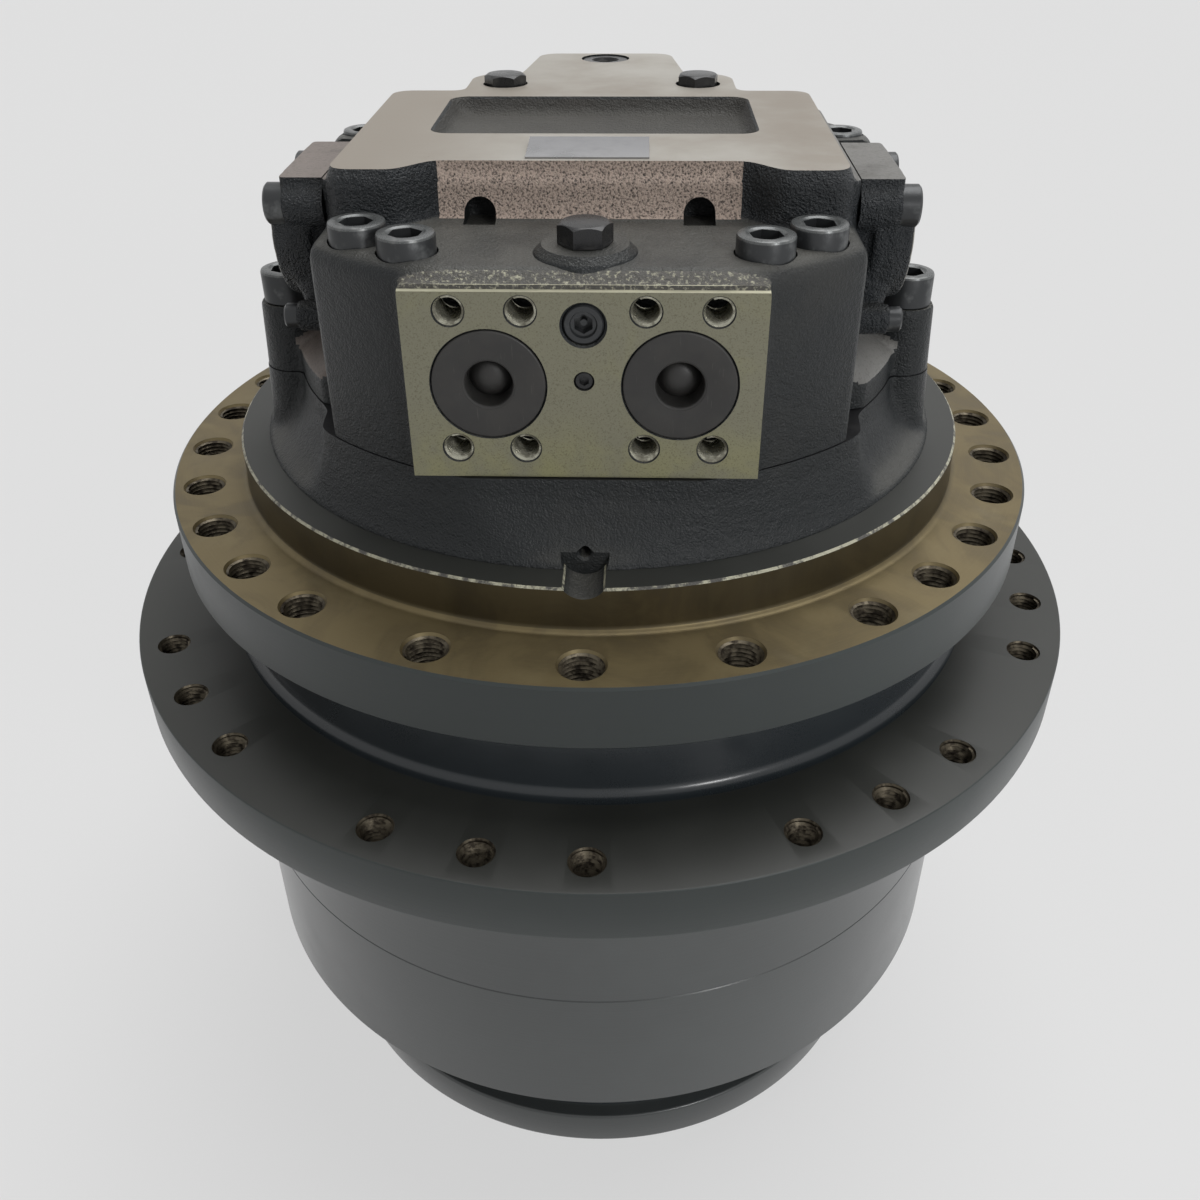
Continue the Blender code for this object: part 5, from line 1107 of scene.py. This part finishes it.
# side caps over the spool bore
capSizes = Sizes(
    inner=0.1303, thick=0.021, front=-0.0925, back=-0.0185, low=0.548, high=0.622, corner=0.012,
    crown=0.0040, shelf=0.603, spoolY=-0.0555, spoolZ=0.590, disc=0.0375, discTop=0.0350, discHigh=0.0085,
    screw=0.0105, screwIn=0.0055, screwDown=0.0140, screwHigh=0.0088, lowScrew=0.0063, lowOut=0.001,
    lowUp=0.0045, lowHigh=0.0063, lowEar=0.0080, grain=0.0016, rounds=4)


def capScrews():
    # the place, head radius and head height of each screw, and the radius of its ear
    s = capSizes
    places = []
    for y in (s.front + s.screwIn, s.back - s.screwIn):
        places.append((y, s.high - s.screwDown, s.screw - 0.0004, s.screwHigh, 0.0112))
    for y in (s.front - s.lowOut, s.back + s.lowOut):
        places.append((y, s.low + s.lowUp, s.lowScrew, s.lowHigh, s.lowEar))
    return places


def mirrored(bm, side):
    if side < 0:
        bmesh.ops.scale(bm, vec=(-1, 1, 1), verts=bm.verts)
        bmesh.ops.reverse_faces(bm, faces=bm.faces)


def makeSideCaps():
    s = capSizes
    outer = s.inner + s.thick
    for side, name in ((-1, 'left'), (1, 'right')):
        line = roundedBox(s.front + 0.003, s.back - 0.003, s.low + 0.002, s.high - 0.001, s.corner)
        waist = roundedBox(s.front + 0.006, s.back - 0.006, s.low + 0.006, s.high - 0.001, s.corner)
        shapes = [moved(stacked([(line, s.inner - 0.006), (line, outer - 0.008), (waist, outer - 0.0005)]),
                        turn=alongX)]
        upper = roundedBox(s.front + 0.0005, s.back - 0.0005, s.high - 0.026, s.high + 0.004, s.crown)
        shapes.append(moved(prism(upper, s.inner - 0.006, outer + 0.0004), turn=alongX))
        disc = [(0, outer - 0.012), (s.disc + 0.001, outer - 0.012), (s.disc + 0.0006, outer - 0.001),
                (s.discTop + 0.001, outer + s.discHigh), (0, outer + s.discHigh + 0.0004)]
        shapes.append(turnedShape(disc, 64, (0, s.spoolY, s.spoolZ), facingRight))
        for y, z, reach, high, ear in capScrews():
            pad = [(0, s.inner - 0.006), (ear, s.inner - 0.006), (ear - 0.0003, outer), (0, outer + 0.0004)]
            shapes.append(turnedShape(pad, 32, (0, y, z), facingRight))
        cap = castForm('sideCap_' + name, shapes, ['glossCasting', 'wornEdge', 'step'], s.grain, s.rounds)
        wall = roundedBox(-0.2, s.inner, -0.3, 0.3, 0.01, 1)
        carve(cap, [prism(wall, 0.4, 0.7)])
        carve(cap, [prism(everywhere, s.high - 0.0002, 0.7)])
        shelf = [(outer + 0.0006, s.shelf + 0.003), (outer + 0.02, s.shelf - 0.006), (outer + 0.02, 0.7),
                 (outer + 0.0006, 0.7)]
        carve(cap, [moved(prism(shelf, -0.1, 0.2), turn=facingFront)])

        def choose(middle, normal):
            if middle.z > s.high - 0.0004 and normal.z > 0.9:
                return 2
            reach = math.hypot(middle.y - s.spoolY, middle.z - s.spoolZ)
            return 1 if middle.x > outer + s.discHigh - 0.0012 and reach > s.discTop - 0.0010 else 0
        paintFaces(cap, choose)
        edited(cap, mirrored, side)
        dress(smoothed(cap, 34), 'case', 'painted_casting', 'side_cap_' + name)
        heads, rooms = [], []
        for y, z, reach, high, ear in capScrews():
            tip = outer + high
            profile = onAxis((reach, outer - 0.001), (reach, tip - 0.0010), (reach - 0.0010, tip))
            heads.append(turnedShape(profile, 40, (0, y, z), facingRight))
            room = prism(hexagon(reach * 1.05), tip - 0.005, tip + 0.01)
            rooms.append(moved(room, (0, y, z), facingRight))
        screws = meshPiece('sideCapScrews_' + name, together(heads), ['bolt', 'boltEdge'])
        carve(screws, rooms)
        edited(screws, mirrored, side)
        dress(smoothed(screws, 30), 'case', 'black_bolt')
    print('side caps made')


# bare plate on the top
def makeBarePlate():
    # thin and a little bent, so that its back edge stands off
    size = Sizes(wide=0.0595, deep=0.0310, middle=(-0.0013, -0.0770), thick=0.0008, lift=0.0024, strips=16)
    x, y = size.middle
    low = rearSizes.plate + 0.00005
    under = [(y + size.deep * (n / size.strips - 0.5), low + size.lift * (n / size.strips) ** 2)
             for n in range(size.strips + 1)]
    line = under + [(across, height + size.thick) for across, height in reversed(under)]
    sheet = moved(prism(line, x - size.wide / 2, x + size.wide / 2), turn=alongX)
    dress(meshPiece('barePlate', sheet, ['plateSteel']), 'case', 'painted_casting')


# CAD solids that stay
def finishInnerSolids():
    bySlot = {'painted_casting': 'casting', 'painted_steel': 'turned', 'bare_casting': 'brown',
              'ground_steel': 'bareSteel', 'gear_steel': 'gearSteel', 'black_bolt': 'bolt',
              'black_plastic': 'plastic', 'friction_facing': 'facing', 'bearing_bronze': 'bronze'}
    slots = {part['node']: part['material_slot'] for part in frame['record']['subparts']}
    for name, node in frame['nodes'].items():
        material = finishes[bySlot[slots[name]]].material
        if not node.data.materials:
            node.data.materials.append(material)
        for slot in node.material_slots:
            slot.material = material
    print('inner solids finished')


# camera, floor and light
view = Sizes(
    place=(0.0241, -0.6630, 0.7698), down=33.36, roll=-0.33, yaw=1.89, focal=1160.2, centre=(603.1, 574.1),
    image=1200)
studio = Sizes(
    backdrop=0.745,      # what the camera sees of the floor and of the world
    shadow=0.22,         # how much of the floor's shading shows in it
    floorSeen=0.70,
    floor=(0.70, 0.70, 0.70),
    floorLeft=(0.12, 0.105, 0.085),
    floorTurn=(-1.10, -0.45),
    front=(0.14, 0.14, 0.14),        # the room by direction
    left=(0.09, 0.080, 0.064),
    right=(0.86, 0.94, 0.98),
    back=(1.00, 1.00, 1.00),
    above=(0.36, 0.36, 0.36),
    soft=2.1,
    softAngle=50,
    box=16,
    boxPlace=(1.3, -2.1, 1.35),
    boxSize=0.5,
)


def makeCamera():
    camera = bpy.data.cameras.new('camera')
    camera.sensor_width = 36
    camera.lens = view.focal / view.image * 36
    camera.shift_x = (view.image / 2 - view.centre[0]) / view.image
    camera.shift_y = (view.centre[1] - view.image / 2) / view.image
    camera.clip_start = 0.01
    camera.clip_end = 100
    eye = newObject('camera', camera)
    down, yaw, roll = (math.radians(view[name]) for name in ('down', 'yaw', 'roll'))
    ahead = Vector((-math.sin(yaw) * math.cos(down), math.cos(yaw) * math.cos(down), -math.sin(down)))
    right = Vector((math.cos(yaw), math.sin(yaw), 0))
    up = right.cross(ahead)
    across = right * math.cos(roll) + up * math.sin(roll)
    above = up * math.cos(roll) - right * math.sin(roll)
    turn = Matrix((across, above, -ahead)).transposed().to_4x4()
    eye.matrix_world = Matrix.Translation(Vector(view.place)) @ turn
    bpy.context.scene.camera = eye


def makeRoom():
    # a plain room, lighter on the right and low at the back, that only the camera sees as one tone
    world = bpy.data.worlds.new('studio')
    world.use_nodes = True
    bpy.context.scene.world = world
    room = Nodes(world.node_tree)
    x, y, z = room.split(room.add('ShaderNodeTexCoord', out='Generated'))
    tone = room.mix(y.between(-0.2, 0.8), studio.front, studio.back)
    tone = room.mix(x.between(-0.2, -0.8), tone, studio.left)
    tone = room.mix(x.between(0.1, 0.8), tone, studio.right)
    tone = room.mix(z.between(0.25, 0.60), tone, studio.above)
    light = room.add('ShaderNodeBackground', None, {'Color': tone})
    seen = room.add('ShaderNodeBackground', None, {'Color': (studio.backdrop,) * 3 + (1,)})
    choice = room.add('ShaderNodeMixShader', None, {0: room.pale(), 1: light, 2: seen})
    room.feed(room.tree.nodes['World Output'].inputs['Surface'], choice)


def makeFloor():
    # pale to the camera; what it throws back on the part is darker and warmer on the left
    bm = bmesh.new()
    bmesh.ops.create_grid(bm, x_segments=1, y_segments=1, size=30)
    ground = meshPiece('studioFloor', bm, [], 0)
    floor, pale = Finish('paleFloor', studio.floor, 0.9, specular=0.1), (studio.floorSeen,) * 3
    x, y = floor.axes()[:2]
    bounce = floor.mix((x + y * 0.25).between(*studio.floorTurn), studio.floorLeft, studio.floor)
    seen = floor.pale()
    floor.set(Base_Color=floor.mix(seen, bounce, pale))
    even = floor.add('ShaderNodeEmission', None, {'Color': (studio.backdrop,) * 3 + (1,)})
    lit = Wire(floor, floor.shader.outputs[0])
    blend = floor.add('ShaderNodeMixShader', None, {0: seen * (1 - studio.shadow), 1: lit, 2: even})
    floor.feed(floor.tree.nodes['Material Output'].inputs['Surface'], blend)
    ground.data.materials.append(floor.material)
    ground.location.z = -0.0002


def makeLamp(name, kind, power, place, aim):
    lamp = bpy.data.lights.new(name, kind)
    lamp.energy = power
    made = newObject(name, lamp)
    made.location = place
    made.rotation_euler = (Vector(aim) - Vector(place)).to_track_quat('-Z', 'Y').to_euler()
    made.visible_camera = False
    return lamp


def makeStudio():
    makeFloor()
    makeRoom()
    sun = makeLamp('softSun', 'SUN', studio.soft, (0, 0, 4), (-0.90, -1.10, 0))
    sun.angle = math.radians(studio.softAngle)
    box = makeLamp('softBox', 'AREA', studio.box, studio.boxPlace, (0, 0, 0.45))
    box.shape = 'DISK'
    box.size = studio.boxSize
    bpy.context.scene.view_settings.view_transform = 'Standard'


makeCamera()
makeStudio()
makeHub()
makeRing()
makeEndCover()
makeFrameFlange()
makeCasing()
makeRearCover()
makePortThreads()
makePortPlugs()
makeCoverBolts()
makeHexPlugs()
makeSideCaps()
makeBarePlate()
finishInnerSolids()
